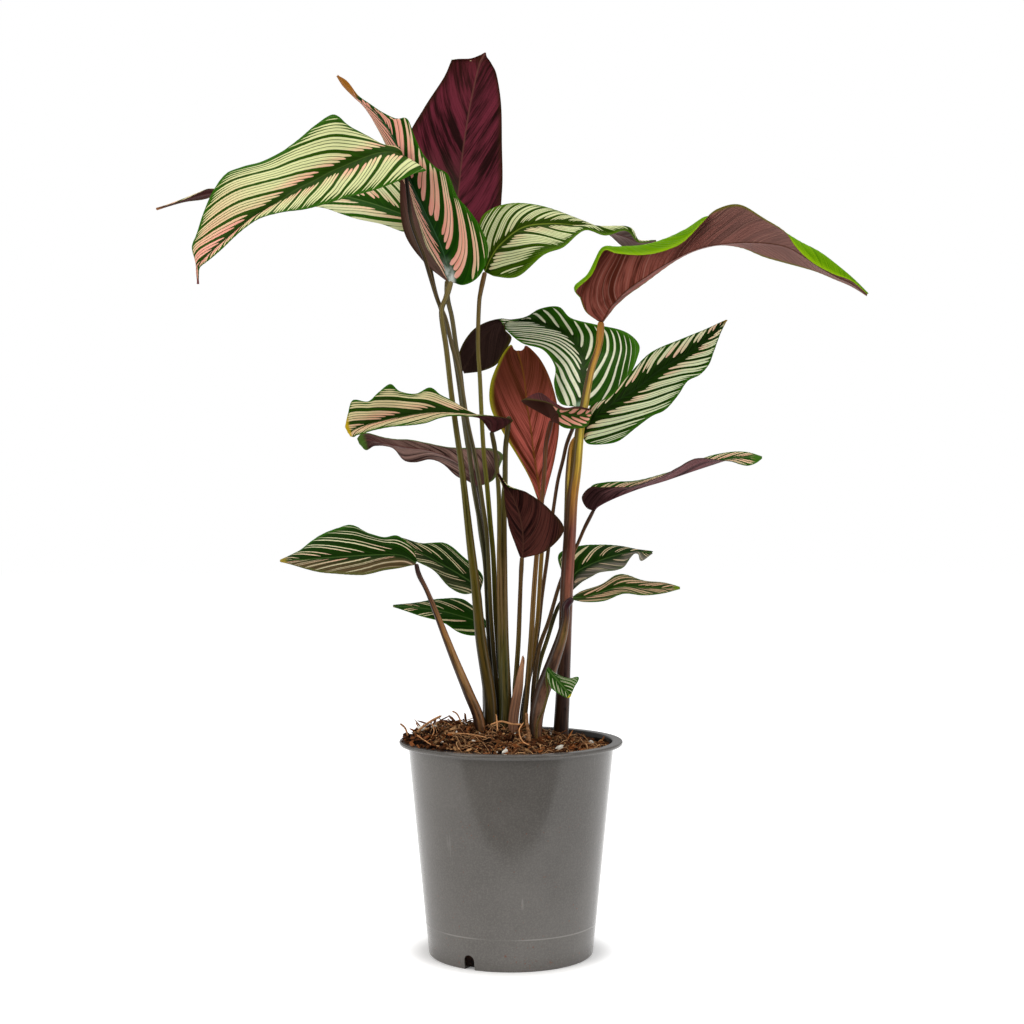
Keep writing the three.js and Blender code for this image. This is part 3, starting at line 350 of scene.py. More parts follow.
# %% Lines of the leaves
LEAVES = {
    "upper_left": dict(
        midrib=[(404, 160, -30), (397, 153, -33), (375, 154, -40), (335, 170, -55), (314, 181, -63),
            (293, 192, -72), (256, 217, -88), (233, 235.5, -100), (210, 254.5, -112), (198, 269, -118),
            (198, 284, -120)],
        left=[(406, 163), (417, 166.5), (426, 170.5), (415, 173), (402, 179), (377, 189), (352, 196.5),
            (340, 200.5), (327, 204), (315, 206.5), (303, 208.5), (283, 211), (262, 217.5), (248, 227),
            (235, 238), (224, 247.5), (213, 256), (205, 262), (199.5, 267.5), (199, 276), (199, 284)],
        right=[(402, 157), (401, 151), (395, 146.5), (383, 144.5), (366, 134.5), (350, 125.5), (334, 114.2),
            (316, 125), (299, 140), (281, 153), (262, 161.5), (243, 166), (226, 173), (213, 191),
            (203.5, 214), (197.5, 234), (192.5, 246), (194, 257), (197, 268), (198, 276), (197, 284)],
        lean=dict(left=-14, right=16), arch=2, waves=3, ripple=1,
        stalks=[dict(seat=-1.3, radii=[1.4, 1.6, 1.6, 1.7, 1.7, 1.8, 2],
            path=[(405.5, 171, -24), (407.5, 188, -20), (412, 223, -18), (424, 256, -16), (431, 279, -14),
                (438, 301, -13), (446, 320, -12), (452, 346, -11), (459.5, 373, -10), (467.5, 422, -8),
                (475.5, 459, -6), (482, 500, -4), (487, 540, -1), (491, 620, 2.5), (496, 680, 6),
                (500, 722, 7.5)])]),
    "behind_left": dict(
        midrib=[(425, 222, 44), (402, 214, 48), (370, 203, 56), (335, 195, 66), (290, 192, 74),
            (245, 193, 80), (212, 193, 82), (183, 200, 84), (156, 209, 85)],
        left=[(425, 224), (416, 230), (404, 232), (382, 224), (358, 218.5), (342, 213.5), (325, 208),
            (307, 206), (288, 203), (266, 201.5), (243, 198), (226, 192), (210, 188), (198, 192.5),
            (185, 199), (170, 204.5), (156, 208)],
        right=[(424, 220), (408, 185), (385, 165), (330, 168), (280, 172), (240, 180), (211, 197),
            (184, 201.5), (157, 210)],
        lean=dict(left=-10, right=16), arch=1.5, waves=2, ripple=1,
        stalks=[dict(seat=0.6, radii=[1.4, 1.6, 1.7, 1.9],
            path=[(427, 245, 43), (435, 290, 41), (450.5, 340, 38), (457, 372, 36), (466.5, 440, 32),
                (474.5, 483, 31), (480, 530, 31), (485, 565, 32), (488, 620, 34), (490, 680, 29),
                (491, 722, 24)])]),
    "pink": dict(
        midrib=[(451, 282, -15), (448, 268, -16), (441, 246, -18), (426, 214, -20), (411, 182, -20),
            (400, 152, -18), (387, 127, -16), (370, 107, -14), (356, 96, -13), (338, 76, -12)],
        left=[(449, 281), (445, 275.5), (440, 267), (433.5, 258), (426, 246), (420, 228), (414, 208),
            (409.5, 190), (402, 176), (395, 161), (388, 148), (382, 136), (376, 126), (370, 116),
            (364, 107), (359, 101), (354.5, 97), (343.5, 86.5), (336.5, 76)],
        right=[(453.5, 282.5), (464, 285), (477, 278.5), (486, 264), (488, 246), (480, 226), (468, 209),
            (457, 196), (448, 174.5), (436, 167.5), (424, 155), (415, 137), (407.5, 119), (395, 118),
            (381, 111.5), (369, 103.5), (358, 95.5), (347.5, 81.5), (337.5, 75)],
        lean=dict(left=26, right=-5), arch=2, waves=2, ripple=0.6,
        stalks=[dict(seat=-0.05, radii=[1.9, 2, 2, 2.2, 2.5, 3.1, 3.7, 4.4, 5.2, 5.2],
            path=[(446, 298, -19), (441.5, 313, -20), (446.5, 350, -19), (451, 390, -17), (455.5, 424, -15),
                (462, 470, -12), (470, 540, -8), (476, 590, -5), (481, 640, -2), (489, 690, 0),
                (491, 722, 0)])]),
    "tall_maroon": dict(
        midrib=[(447, 281, 8), (450, 262, 14), (454, 232, 22), (458, 195, 28), (463, 150, 30),
            (470, 106, 28), (476, 78, 24), (479.5, 64, 20.5), (480.5, 61.5, 20), (483, 57, 19),
            (485, 52.5, 18)],
        left=[(449, 281), (475, 262), (496, 232), (502, 190), (502, 145), (501.5, 104), (497, 75),
            (491, 63.5), (489.5, 61), (487, 57), (486, 53)],
        right=[(445, 280), (424, 262), (404, 232), (400, 190), (405, 145), (424, 108), (443, 78),
            (450.5, 62), (453.5, 59.8), (470, 59), (483.5, 53.5)],
        lean=dict(left=8, right=8), arch=2, waves=2, ripple=1,
        stalks=[dict(seat=-0.25, radii=[1.8, 1.8, 1.8, 1.8, 1.8, 2],
            path=[(447.5, 298, 9), (452, 318, 8), (456, 346, 7.5), (460, 370, 7), (466, 424, 6),
                (473, 483, 5), (480, 524, 5), (485, 560, 5.5), (488, 620, 7), (491, 680, 9),
                (493, 722, 9.5)])]),
    "top_right": dict(
        midrib=[(485, 272, 8), (490, 260, 10), (500, 245, 13), (522, 228, 17), (548, 224, 25),
            (580, 226, 38), (606, 231, 50), (627, 237, 58), (640, 242.5, 64), (656, 241, 68)],
        left=[(484, 270), (479, 240), (483, 215), (508, 204.5), (545, 206.5), (580, 218.5), (607, 235),
            (624, 247), (638, 245.5), (656, 242.5)],
        right=[(487, 273), (497, 277), (518, 276), (543, 255.5), (563.5, 248), (585, 229), (606, 235.5),
            (626, 231.5), (639, 242), (656, 240)],
        right_fold=[(486.5, 272.7), (494, 270), (511, 263), (533, 243), (557, 238.5), (583, 227.5),
            (603, 228), (629, 229), (638.5, 240.5), (656, 240.3)],
        lean=dict(left=9, right=-14, right_fold=-9), arch=1.5, waves=3, ripple=1.2,
        stalks=[dict(radii=[1.7, 1.6, 1.7, 1.9, 1.9, 1.9, 2],
            path=[(481, 290, 6), (479, 305, 4), (478, 345, 2), (480, 380, 0), (482, 424, -1),
                (484, 455, -1), (487, 485, -1), (490, 520, 1), (493.5, 560, 3.4), (496, 620, 6.5),
                (501, 680, 8), (507, 722, 8)])]),
    "long_right": dict(
        midrib=[(601, 322, 2), (606, 313, -1), (610, 306, -3), (617, 299, -6), (624, 292, -9),
            (633, 285, -13), (645, 277, -18), (658, 268, -24), (672, 260, -30), (688, 252, -37),
            (704, 246.5, -44.5), (722, 243.5, -52.5), (745, 242, -62), (766, 242.5, -70.5), (786, 246, -79),
            (802, 254.5, -86), (818, 265.5, -93), (836, 276, -100), (852, 283.5, -105), (867, 294.5, -110)],
        left=[(603.5, 321.5), (610, 313.5), (615, 307), (622, 300), (629, 293.5), (638, 287), (649, 279),
            (661, 270.5), (675, 261.5), (690, 254), (705, 249), (722, 246), (743, 248.5), (764, 256.5),
            (784, 262), (801, 266.5), (817, 271.5), (834, 279), (851, 286.5), (867, 296)],
        right=[(598.5, 321.5), (586, 312), (580, 298), (577, 290), (592, 275), (603.5, 251), (617, 253),
            (641, 254.5), (662, 251), (683, 242), (704.5, 221), (717, 209.5), (739, 205), (764, 219),
            (785, 232), (797, 248), (813, 262.5), (833, 273.5), (851, 280.5), (867.5, 294)],
        right_fold=[(599.5, 321.5), (592, 312), (588, 303), (577.5, 288), (590.5, 274.5), (604, 250.5),
            (620, 247.5), (644, 245), (667, 238), (688, 228), (704, 219), (722, 221), (743, 218),
            (768, 229), (787, 235), (803, 243), (821, 252.5), (840, 267), (855, 280), (868.5, 293.5)],
        lean=dict(left=20, right=-15, right_fold=-10), arch=0, waves=2, ripple=0.8,
        stalks=[dict(seat=-0.2,
            radii=[2.4, 2.6, 3, 3.4, 3.9, 4.3, 4.7, 4.9, 5, 5, 5.2, 5.5, 5.9, 5.9],
            path=[(599, 345, 1), (591, 370, 0.5), (585, 401, 0), (580, 428, 0), (576, 470, 0),
                (572, 500, 0.5), (569.5, 540, 1.5), (567, 580, 3), (565.5, 620, 5), (564, 660, 8),
                (562.5, 700, 10), (561, 731, 12)]), dict(
            carries="right", seat=0.4, radii=[1.8, 2.1, 2.4, 3, 3.4, 3.6, 4, 4],
            path=[(572, 445, 3), (568.5, 470, 1), (567.5, 500, 1.5), (567, 540, 2), (566, 620, 5.5),
                (563.5, 680, 9)])]),
    "centre": dict(
        midrib=[(580, 406, 20), (583, 392, 24), (583, 372, 32), (582, 355, 40), (572, 338, 44),
            (553, 327, 44), (525, 320, 42), (501, 322, 42), (484, 337, 44), (471, 357, 48), (463, 371, 50)],
        left=[(577, 407), (560, 403), (554, 384), (555, 367), (543, 350), (522, 343), (506, 330),
            (497.5, 319.7), (474, 329), (459.5, 351.5), (462, 371)],
        right=[(582, 407), (593, 405), (604, 401), (621, 389), (632, 371), (637.5, 357), (639.5, 346),
            (632, 336), (618, 329), (595, 324), (571, 318), (559, 307), (541, 309), (526, 317), (507, 321),
            (505, 330), (511.5, 338), (506, 350), (497, 364), (482, 371), (464, 373.5)],
        lean=dict(left=-2, right=-6), arch=1.5, waves=3, ripple=0.6,
        stalks=[dict(seat=-0.4, radii=[1.6, 1.4, 1.4, 1.6, 1.9, 2],
            path=[(574, 425, 15), (567, 443, 12), (563, 460, 11), (558, 480, 10), (554, 505, 9),
                (550, 535, 9), (547, 560, 9), (542, 595, 9), (538, 630, 9), (532, 665, 9), (526, 690, 9),
                (521.5, 722, 9)])]),
    "right": dict(
        midrib=[(582, 433, 7), (592, 420, 5), (612, 404, 0), (636, 389, -8), (660, 370, -20),
            (690, 352, -34), (712, 335, -48), (727, 320, -60)],
        left=[(581, 431), (591, 405), (612, 396), (630, 373.5), (650, 353), (682, 339), (708, 328),
            (725.5, 320)],
        right=[(583, 435), (585, 441), (590, 444.5), (605, 444), (619, 440.5), (636, 428), (652, 416.5),
            (665, 410), (677, 396), (687, 381.5), (700, 375), (709, 365), (713.5, 352), (719.5, 335),
            (726, 322)],
        lean=dict(left=6, right=-13), arch=1.5, waves=3, ripple=0.6),
    "small_cup": dict(
        midrib=[(551.5, 420.5, -16), (556, 415, -20), (564, 414, -25), (574, 415, -31), (584, 415, -37),
            (591, 413, -42)],
        left=[(549, 418), (521, 401), (545, 402), (562, 410), (577, 408.5), (589.5, 410.5)],
        left_fold=[(550, 418), (541, 394), (552, 401), (565, 408), (578, 407), (590, 409)],
        right=[(552, 422), (557, 423.5), (565, 428), (576, 428.5), (587, 426), (592, 414.5)],
        lean=dict(left=-10, right=-8, left_fold=-5), arch=0, waves=1, ripple=0,
        stalks=[dict(seat=-0.5, radii=[1.7, 1.7, 1.8, 2, 2.2, 2.5],
            path=[(546, 445, -11), (544.5, 470, -9), (542, 500, -7), (538, 540, -6), (534, 590, -6),
                (531, 640, -6), (527, 690, -6), (524, 722, -6)])]),
    "rust": dict(
        midrib=[(541, 503.5, 6), (538, 480, 9), (534, 455, 12), (531, 430, 14), (527, 405, 15),
            (524.5, 380, 15), (521, 363, 14), (518, 353, 13), (519, 352, 21), (519, 362, 28)],
        left=[(543, 504), (549, 482), (555, 457), (559, 428), (557, 403), (550, 378), (540, 359),
            (528, 347), (524, 349), (521, 361)],
        right=[(539, 503.5), (530, 480), (517, 456), (504, 434), (491, 408), (490, 384), (499, 360),
            (509, 346), (513, 349), (517, 361)],
        lean=dict(left=2, right=8), arch=2, waves=2, ripple=1,
        stalks=[dict(seat=-0.35, radii=[1.8, 1.6, 1.8, 2],
            path=[(541.5, 525, 4), (542, 545, 3), (540, 580, 3), (537.5, 620, 3), (533, 655, 3),
                (527, 690, 3), (523.5, 722, 3)])]),
    "plum": dict(
        midrib=[(522, 557.5, -14), (523, 545, -18), (522, 528, -23), (518, 510, -27), (511, 495, -30),
            (504, 484, -33), (498, 473, -36)],
        left=[(524, 558), (546, 551), (564, 530), (551, 511), (527, 492.5), (508, 486), (499, 473)],
        right=[(520, 557), (516, 545), (509, 528), (506, 511), (505, 495), (502, 484), (497, 474)],
        lean=dict(left=-4, right=-12), arch=1.5, waves=2, ripple=0.6,
        stalks=[dict(seat=-0.45, radii=[1.5, 1.8, 2, 2.2],
            path=[(521, 575, -10), (520, 600, -7), (518.5, 640, -4), (516.5, 670, -2), (515, 690, -1.5),
                (515, 722, -1)])]),
    "mid_left": dict(
        midrib=[(491.5, 431.5, -16), (491, 423, -19), (481, 417.5, -24), (455, 414, -34), (425, 413, -46),
            (395, 418, -58), (370, 424, -68), (356, 429, -74), (348, 432.5, -78)],
        left=[(494, 432.5), (505, 427), (513, 420), (499, 416), (482, 415.5), (469, 417.5), (456, 417),
            (441, 417.5), (427, 421.5), (411, 424.5), (395, 427), (382, 429.5), (370, 431.5), (363, 433),
            (357, 434.5), (354, 437), (350.5, 436.5)],
        right=[(489, 430), (486, 426), (483, 422), (482, 420), (480, 417.5), (468, 410.5), (452, 401.5),
            (440, 395.5), (430, 387.5), (416, 393.5), (400, 391), (390, 384), (378, 392.5), (368, 401.5),
            (353, 400), (348, 414), (345, 427)],
        lean=dict(left=-14, right=6), arch=1.5, waves=3, ripple=1,
        stalks=[dict(seat=-0.7, radii=[1.6, 1.7, 1.9, 2.3, 2.8, 3.2, 3.2],
            path=[(495, 450, -13), (497.5, 475, -11), (499, 500, -9), (499.5, 530, -7), (499.5, 570, -5),
                (501, 640, -3), (503, 700, -2), (504, 722, -2)]), dict(
            carries=None, radii=[1.9, 2, 2.1, 2.3, 2.8, 3.5, 4.3, 4.8, 4.8],
            path=[(509, 416, -3), (508, 428, -3), (505.5, 449, -3), (505, 484, -3), (504, 500, -3),
                (504, 560, -2.5), (504, 640, -2), (505.5, 700, -2), (505, 722, -2)])]),
    "mid_left_under": dict(
        midrib=[(478, 486, 14), (474, 477, 18), (466, 469, 22), (452, 459, 30), (430, 450.5, 38),
            (405, 447, 48), (385, 443.5, 56), (370, 440, 62), (359, 443, 66)],
        left=[(480, 485.5), (488, 483), (495, 478), (500, 466), (503, 455), (493, 448.5), (480, 447.5),
            (462, 448), (445, 446.5), (428, 443), (410, 440), (397, 440), (386, 438), (378, 435.5),
            (369, 433), (361, 434), (357, 438.5)],
        right=[(476, 486), (472, 484), (468, 481.5), (463, 479), (458, 476.5), (452, 472), (445, 466.5),
            (437, 462), (428, 459.5), (415, 461.5), (404, 459.5), (394, 449.5), (385, 447), (378, 446),
            (373, 446), (366, 450), (360, 444.5)],
        lean=dict(left=-5, right=14), arch=1.5, waves=3, ripple=1,
        stalks=[dict(seat=-0.2, radii=[1.5, 1.7, 1.8],
            path=[(482, 510, 16), (486, 560, 17), (489, 620, 16), (494, 680, 14), (499, 722, 14)])]),
    "low_left": dict(
        midrib=[(416, 563, -12), (402, 556, -18), (385, 555, -26), (360, 556, -38), (330, 558, -50),
            (305, 560, -62), (280, 561, -72)],
        left=[(415, 565), (404, 567), (385, 569.5), (362, 576), (330, 573), (305, 568), (281, 562)],
        right=[(417, 561), (413, 550), (405, 541), (396, 535.5), (384, 536.5), (368, 532), (352, 525),
            (337, 529), (322, 535), (311, 541.5), (301, 549), (290, 555), (280, 560)],
        lean=dict(left=-20, right=16), arch=1.5, waves=2, ripple=1,
        stalks=[dict(seat=-0.2, radii=[1.6, 1.8, 2.6, 3.2, 3.9, 4.4, 4.4],
            path=[(419, 575, -14), (427, 591, -16), (439, 620, -15), (453.5, 657, -13), (468, 692, -10),
                (479.5, 722, -8)])]),
    "low_left_back": dict(
        midrib=[(479, 591, 14), (472, 583, 17), (455, 572, 23), (437, 562, 30), (420, 553, 37),
            (405, 545, 43), (390, 537, 48)],
        left=[(478, 592), (464, 594), (449, 586.5), (434, 571.5), (418, 562), (402, 551), (389.5, 538)],
        right=[(481, 590), (482, 575), (464, 557), (446, 543.5), (422, 544), (404, 538), (391, 536)],
        lean=dict(left=-9, right=12), arch=1, waves=2, ripple=0.8,
        stalks=[dict(seat=-0.2, radii=[1.5, 1.8],
            path=[(480.5, 610, 15), (481, 640, 16), (484, 680, 16), (485, 722, 13)])]),
    "lowest_left": dict(
        midrib=[(487, 625, 24), (476, 621, 28), (460, 616, 34), (440, 611, 42), (418, 608, 50),
            (393, 606, 58)],
        left=[(486, 627), (478, 635), (460, 633), (441, 622), (418, 615), (393, 607)],
        right=[(488, 624), (478, 611), (462, 598.5), (440, 599.5), (418, 602), (393, 605)],
        lean=dict(left=-8, right=12), arch=1, waves=2, ripple=0.8,
        stalks=[dict(radii=[1.5, 1.8],
            path=[(491, 648, 26), (497, 684, 22), (507, 722, 16)])]),
    "low_right": dict(
        midrib=[(573, 598, -13), (586, 597, -18), (600, 593, -24), (620, 587, -32), (642, 588, -40),
            (662, 588.5, -48), (680, 588, -55)],
        left=[(573, 596.5), (584, 590), (601, 584), (620, 575), (642, 580), (662, 582), (680, 587)],
        right=[(573, 600), (586, 602.5), (603, 600.5), (622, 594), (642, 596), (662, 593), (680, 589)],
        lean=dict(left=12, right=-12), arch=1, waves=2, ripple=0.8,
        stalks=[dict(seat=-0.5, radii=[2.2, 3.2, 4.4, 5.2, 5.8, 5.6, 4.8, 4.6],
            path=[(566, 606, -12), (565.5, 618, -11.5), (561.5, 637, -10.5), (554.5, 658, -10),
                (546.5, 680, -9.5), (540, 700, -9.5), (536, 722, -9.5)])]),
    "low_right_back": dict(
        midrib=[(571, 589, 16), (575, 574, 20), (590, 565, 24), (608, 558, 32), (625, 553.5, 40),
            (640, 552, 48), (652, 552.5, 54)],
        left=[(569, 588), (558, 556), (578, 546), (600, 545.5), (625, 546.5), (641, 549.5), (653, 551.5)],
        right=[(573, 590), (577, 586.5), (582.5, 582), (590, 577.5), (599, 572), (608, 570.5), (617, 570),
            (624.5, 567), (631, 558), (635, 553.5), (639, 554.5), (641.5, 561), (652.5, 553.5)],
        lean=dict(left=12, right=-9), arch=1, waves=2, ripple=0.8,
        stalks=[dict(seat=-0.45, radii=[1.5, 1.7, 1.9],
            path=[(563, 600, 14), (556, 612, 13), (547, 640, 10.5), (540, 662, 9), (535, 690, 7),
                (533, 722, 6)])]),
    "edge_on_right": dict(
        midrib=[(593.5, 510.5, 12), (599, 505, 15), (615, 497, 20), (640, 487.5, 28), (665, 480, 36),
            (690, 471.5, 44), (710, 465, 52), (730, 459, 60), (746, 457.5, 66), (762, 457.5, 72)],
        left=[(592, 510), (590, 488), (606, 482), (635, 480.5), (660, 475), (686, 467), (706, 457),
            (728, 452), (746, 452), (762, 456.5)],
        right=[(595, 511), (586.5, 507.5), (582, 497), (590, 487.5), (600, 487.5), (614, 487), (630, 486.5),
            (646, 481.5), (662, 475.5), (677, 468), (692, 460), (702, 458.5), (712, 459.5), (722, 460.5),
            (732, 461.5), (740, 464), (748, 465.5), (756, 463), (762, 458.5)],
        lean=dict(left=15, right=-15), arch=0, waves=2, ripple=0.4,
        stalks=[dict(seat=-0.18, radii=[1.3, 1.4, 1.6, 1.8, 2],
            path=[(585, 527, 11), (578, 543, 12), (570, 560, 12), (560, 583, 11), (549, 620, 8),
                (540, 645, 5), (535.5, 670, 3), (533, 695, 1), (532.5, 722, 0)])]),
    "baby": dict(
        midrib=[(547.5, 668, -20), (551, 673, -21), (558, 681, -24), (564, 688, -28), (568, 693, -31),
            (569.5, 697.5, -33)],
        left=[(548.5, 667), (556, 673.5), (569, 678.5), (579, 677.5), (574.5, 687), (570.5, 697)],
        right=[(546.5, 669), (547, 677), (551, 687.5), (559, 694), (565, 697), (568.5, 698)],
        lean=dict(left=2, right=-2), arch=0.5, waves=2, ripple=0.5,
        stalks=[dict(seat=0.65, radii=[0.8, 1, 1.2, 1.2],
            path=[(546.5, 680, -18), (548, 692, -18), (544, 708, -18), (537, 726, -18)])]),
}

print("leaves:", len(LEAVES))

# %% [markdown]
# ## A blade
#
# A real blade is a thin sheet, arched between its midrib and its margins, waved at the edge and
# ribbed by its side veins. It could be a flat outline bent by modifiers, but then the stripes would
# not know where the veins run. Here the sheet is worked out as a grid, with one parameter along the
# midrib and one across, and the same numbers are kept on the mesh for the finish to read.

# %% The sheet between the rails
GRID_STEP = 1.5
VEIN_SPACING = 5.2
VEIN_RELIEF = 0.11
BLADE_AT_MIDRIB = 0.6
BLADE_AT_EDGE = 0.36
# How the side veins run out from the midrib, on both halves or on the left and the right one. lean is
# the way they go towards the tip for each millimetre out, gain what that grows by up to the tip, and
# bend their curve.
SWEEPS = {
    "upper_left": ((0.9, 1.3, 0.6), (1.5, 2.2, 0.15)), "behind_left": ((2.6, 2.6, 0.2), (1.3, 1.3, 0.5)),
    "pink": ((1.2, 3.0, 0.6), (0.2, 3.2, 1.0)), "tall_maroon": (0.9, 1.3, 0.5),
    "top_right": ((1.1, 1.3, 0.8), (0.8, 1.3, 0.3)), "long_right": ((0.8, 1.3, 0.5), (0.7, 1.3, 0.5)),
    "centre": ((2.0, 1.5, 0.3), (0.9, 1.3, 0.9)), "right": ((1.2, 1.3, 0.5), (1.3, 1.3, 0.5)),
    "mid_left": ((5.0, 1.3, 0.2), (2.8, 1.3, 0.2)), "mid_left_under": (2.4, 1.3, 0.3),
    "rust": (1.6, 1.3, 0.5), "edge_on_right": (2.0, 1.3, 0.3), "low_left": (2.6, 1.0, 0.3),
    "low_left_back": (2.4, 1.0, 0.3), "lowest_left": (2.4, 1.0, 0.3), "low_right": (2.4, 1.0, 0.3),
}
EVERY_SWEEP = (0.8, 1.3, 0.5)


def rails_of(leaf, side):
    """Lines from the midrib outwards on one side: midrib, fold if there is one, margin."""
    midrib = np.array(leaf["midrib"], float)
    rails = [seen(midrib)]
    for key in (f"{side}_fold", side):
        if key in leaf:
            t = np.linspace(0, 1, len(leaf[key]))
            lift = np.sin(np.pi * (0.02 + 0.96 * t)) ** 0.8
            depth = np.interp(t, np.linspace(0, 1, len(midrib)), midrib[:, 2])
            rails.append(seen(np.column_stack([leaf[key], depth + leaf["lean"][key] * lift])))
    return rails


def half_sheet(leaf, side, t, out):
    """Points of one half, shape (along, across, 3): a curve across through the rails at each t."""
    rails = np.stack([smooth(rail, t) for rail in rails_of(leaf, side)])
    return smooth(rails, out).transpose(1, 0, 2)


def sheet_normals(points):
    """Unit normals of a grid on its striped side: across crossed with along."""
    along = np.gradient(points, axis=0)
    across = np.gradient(points, axis=1)
    normal = np.cross(across, along)
    return normal / np.maximum(np.linalg.norm(normal, axis=-1, keepdims=True), 1e-9)


def fullest(t):
    """A column of shares along the leaf: 1 in its middle and 0 at both ends."""
    return np.sin(np.pi * t)[:, None] ** 0.7


def waved_sheet(leaf):
    """The sheet's points, t along it, the signed share out to the margin, and the midrib's length.

    arch: each half is lifted by 4 out (1 - out), fullest in the middle of the leaf.
    ripple: the margin waves by a sine along the leaf, growing with the square of out.
    """
    midrib = smooth(seen(leaf["midrib"]), np.linspace(0, 1, 200))
    length = travel(midrib)[-1]
    rows = int(np.clip(length / GRID_STEP, 24, 150))
    t = np.linspace(0, 1, rows + 1)
    spans = [np.linalg.norm(half_sheet(leaf, side, t, [0, 1])[:, 1] - midrib[0], axis=1).max()
             for side in ("left", "right")]
    columns = int(np.clip(max(spans) / 6, 10, 18))
    out = np.linspace(0, 1, columns + 1)
    left = half_sheet(leaf, "left", t, out)[:, :0:-1]
    points = np.concatenate([left, half_sheet(leaf, "right", t, out)], axis=1)
    side = np.concatenate([-out[:0:-1], out])
    away = np.abs(side)
    fullness = fullest(t)
    phase = 2 * np.pi * leaf["waves"] * t[:, None] + np.where(side < 0, 1.3, 0)
    rise = leaf["arch"] * 4 * away * (1 - away) * fullness
    rise = rise + leaf["ripple"] * np.sin(phase) * away ** 2 * fullness
    return points + sheet_normals(points) * rise[..., None], t, side, length


def shape_sheet(name, leaf):
    """The waved sheet with its own measures, as arrays on an (along, across) grid.

    vein: the distance along the midrib at which the side vein through a point leaves it, worked
    out as along - (lean + gain t) width - bend width^3 / widest^2.
    ribs: side veins stand up as a low cosine of the vein measure.
    """
    points, t, side, length = waved_sheet(leaf)
    columns = len(side) // 2
    fullness = fullest(t)
    along = travel(points[:, columns])
    width = np.zeros(points.shape[:2])
    width[:, columns:] = travel(points[:, columns:].transpose(1, 0, 2)).T
    width[:, columns::-1] = travel(points[:, columns::-1].transpose(1, 0, 2)).T
    widest = max(width.max(), 1e-6)
    sweep = SWEEPS.get(name, EVERY_SWEEP)
    if not isinstance(sweep[0], tuple):
        sweep = (sweep, sweep)
    lean, gain, bend = (np.where(side < 0, *pair) for pair in zip(*sweep))
    vein = along[:, None] - (lean + gain * t[:, None]) * width - bend * width ** 3 / widest ** 2
    ribs = VEIN_RELIEF * np.cos(2 * np.pi * vein / VEIN_SPACING) * np.clip(width / 6, 0, 1) * fullness
    points = points + sheet_normals(points) * ribs[..., None]
    return dict(points=points, t=np.broadcast_to(t[:, None], width.shape), side=side, width=width,
                vein=vein, length=length)


def slab(sheet, rib_height):
    """Two faces from one sheet, with a wall all round.

    The thickness falls evenly from the midrib to the edge, and underneath the midrib stands out
    as a rounded ridge: a bell curve of the distance from it, fading towards the tip.
    """
    points, width, t = sheet["points"], sheet["width"], sheet["t"]
    normals = sheet_normals(points)
    thickness = BLADE_AT_EDGE + (BLADE_AT_MIDRIB - BLADE_AT_EDGE) * (1 - np.abs(sheet["side"]))
    half = thickness[None, :, None] / 2
    ridge = rib_height * np.exp(-(width / (1.6 * rib_height + 0.2)) ** 2) * (1 - 0.75 * t)
    groove = 0.25 * ridge[..., None]
    top = points + normals * (half - groove)
    under = points - normals * (half + ridge[..., None])
    both = np.concatenate([top.reshape(-1, 3), under.reshape(-1, 3)])
    rows, columns = width.shape
    index = np.arange(rows * columns).reshape(rows, columns)
    a, b, c, d = index[:-1, :-1], index[:-1, 1:], index[1:, 1:], index[1:, :-1]
    upper = np.stack([a, b, c, d], axis=-1).reshape(-1, 4)
    lower = np.stack([a, d, c, b], axis=-1).reshape(-1, 4) + rows * columns
    ring = np.concatenate([index[0, :-1], index[:-1, -1], index[-1, :0:-1], index[:0:-1, 0]])
    after = np.roll(ring, -1)
    wall = np.stack([ring, ring + rows * columns, after + rows * columns, after], axis=-1)
    return both, np.concatenate([upper, lower, wall]), len(upper)


# %% [markdown]
# ## The striped upper side
#
# On the real leaf the cream and pink lines lie between the side veins, in bunches of two to four with
# a dark green band between bunches. Each line starts with a round end at its own distance from the
# midrib and runs out almost to the margin. A painted picture could show this from one side only, so
# the lines are counted off along the veins instead: the vein measure picks the bunch, the place
# in the bunch picks the line, and chance gives each its start, its end and its share of pink.

# %% Looks of the leaves
# Distances are in millimetres, and a pair of values is for the left and right halves. group is the
# distance from bunch to bunch along the midrib, lines the fewest lines in a bunch and how many more it
# may have, fill the lines' share of their bunch, band the green band's share, inner the start of a
# line and its spread, outer the share of the half where it ends, and pink the share everywhere, near
# the midrib and near the tip. taper says where along the leaf the lines start closer to the midrib,
# and only where along it they begin to show.
STRIPES = dict(
    group=14.0, lines=(2, 2), fill=0.88, band=0.26, inner=(3, 3), outer=0.95, pink=(0.0, 0.7, 0.2),
    cream=(232, 238, 184), green=(34, 78, 6), rib=(24, 58, 8), margin=(46, 98, 8), midrib=(92, 122, 60),
    only=(0.0, -0.01), taper=(0.5, 1.0))
# Underneath, glow is the colour of the clouds, tip and foot those of the two ends, tip_from where the
# tip's colour begins and is full, foot its reach, its colour and its share on the left and right
# halves, and grain the share of fine streaks in the clouds.
UNDER = dict(
    base=(56, 26, 26), glow=(84, 42, 44), vein=(92, 56, 58), rib=(88, 52, 50), edge=(66, 60, 20),
    tip=(56, 26, 26), tip_from=(0.45, 1.0), foot=(0.01, (56, 26, 26), (1, 1)), grain=0.5)
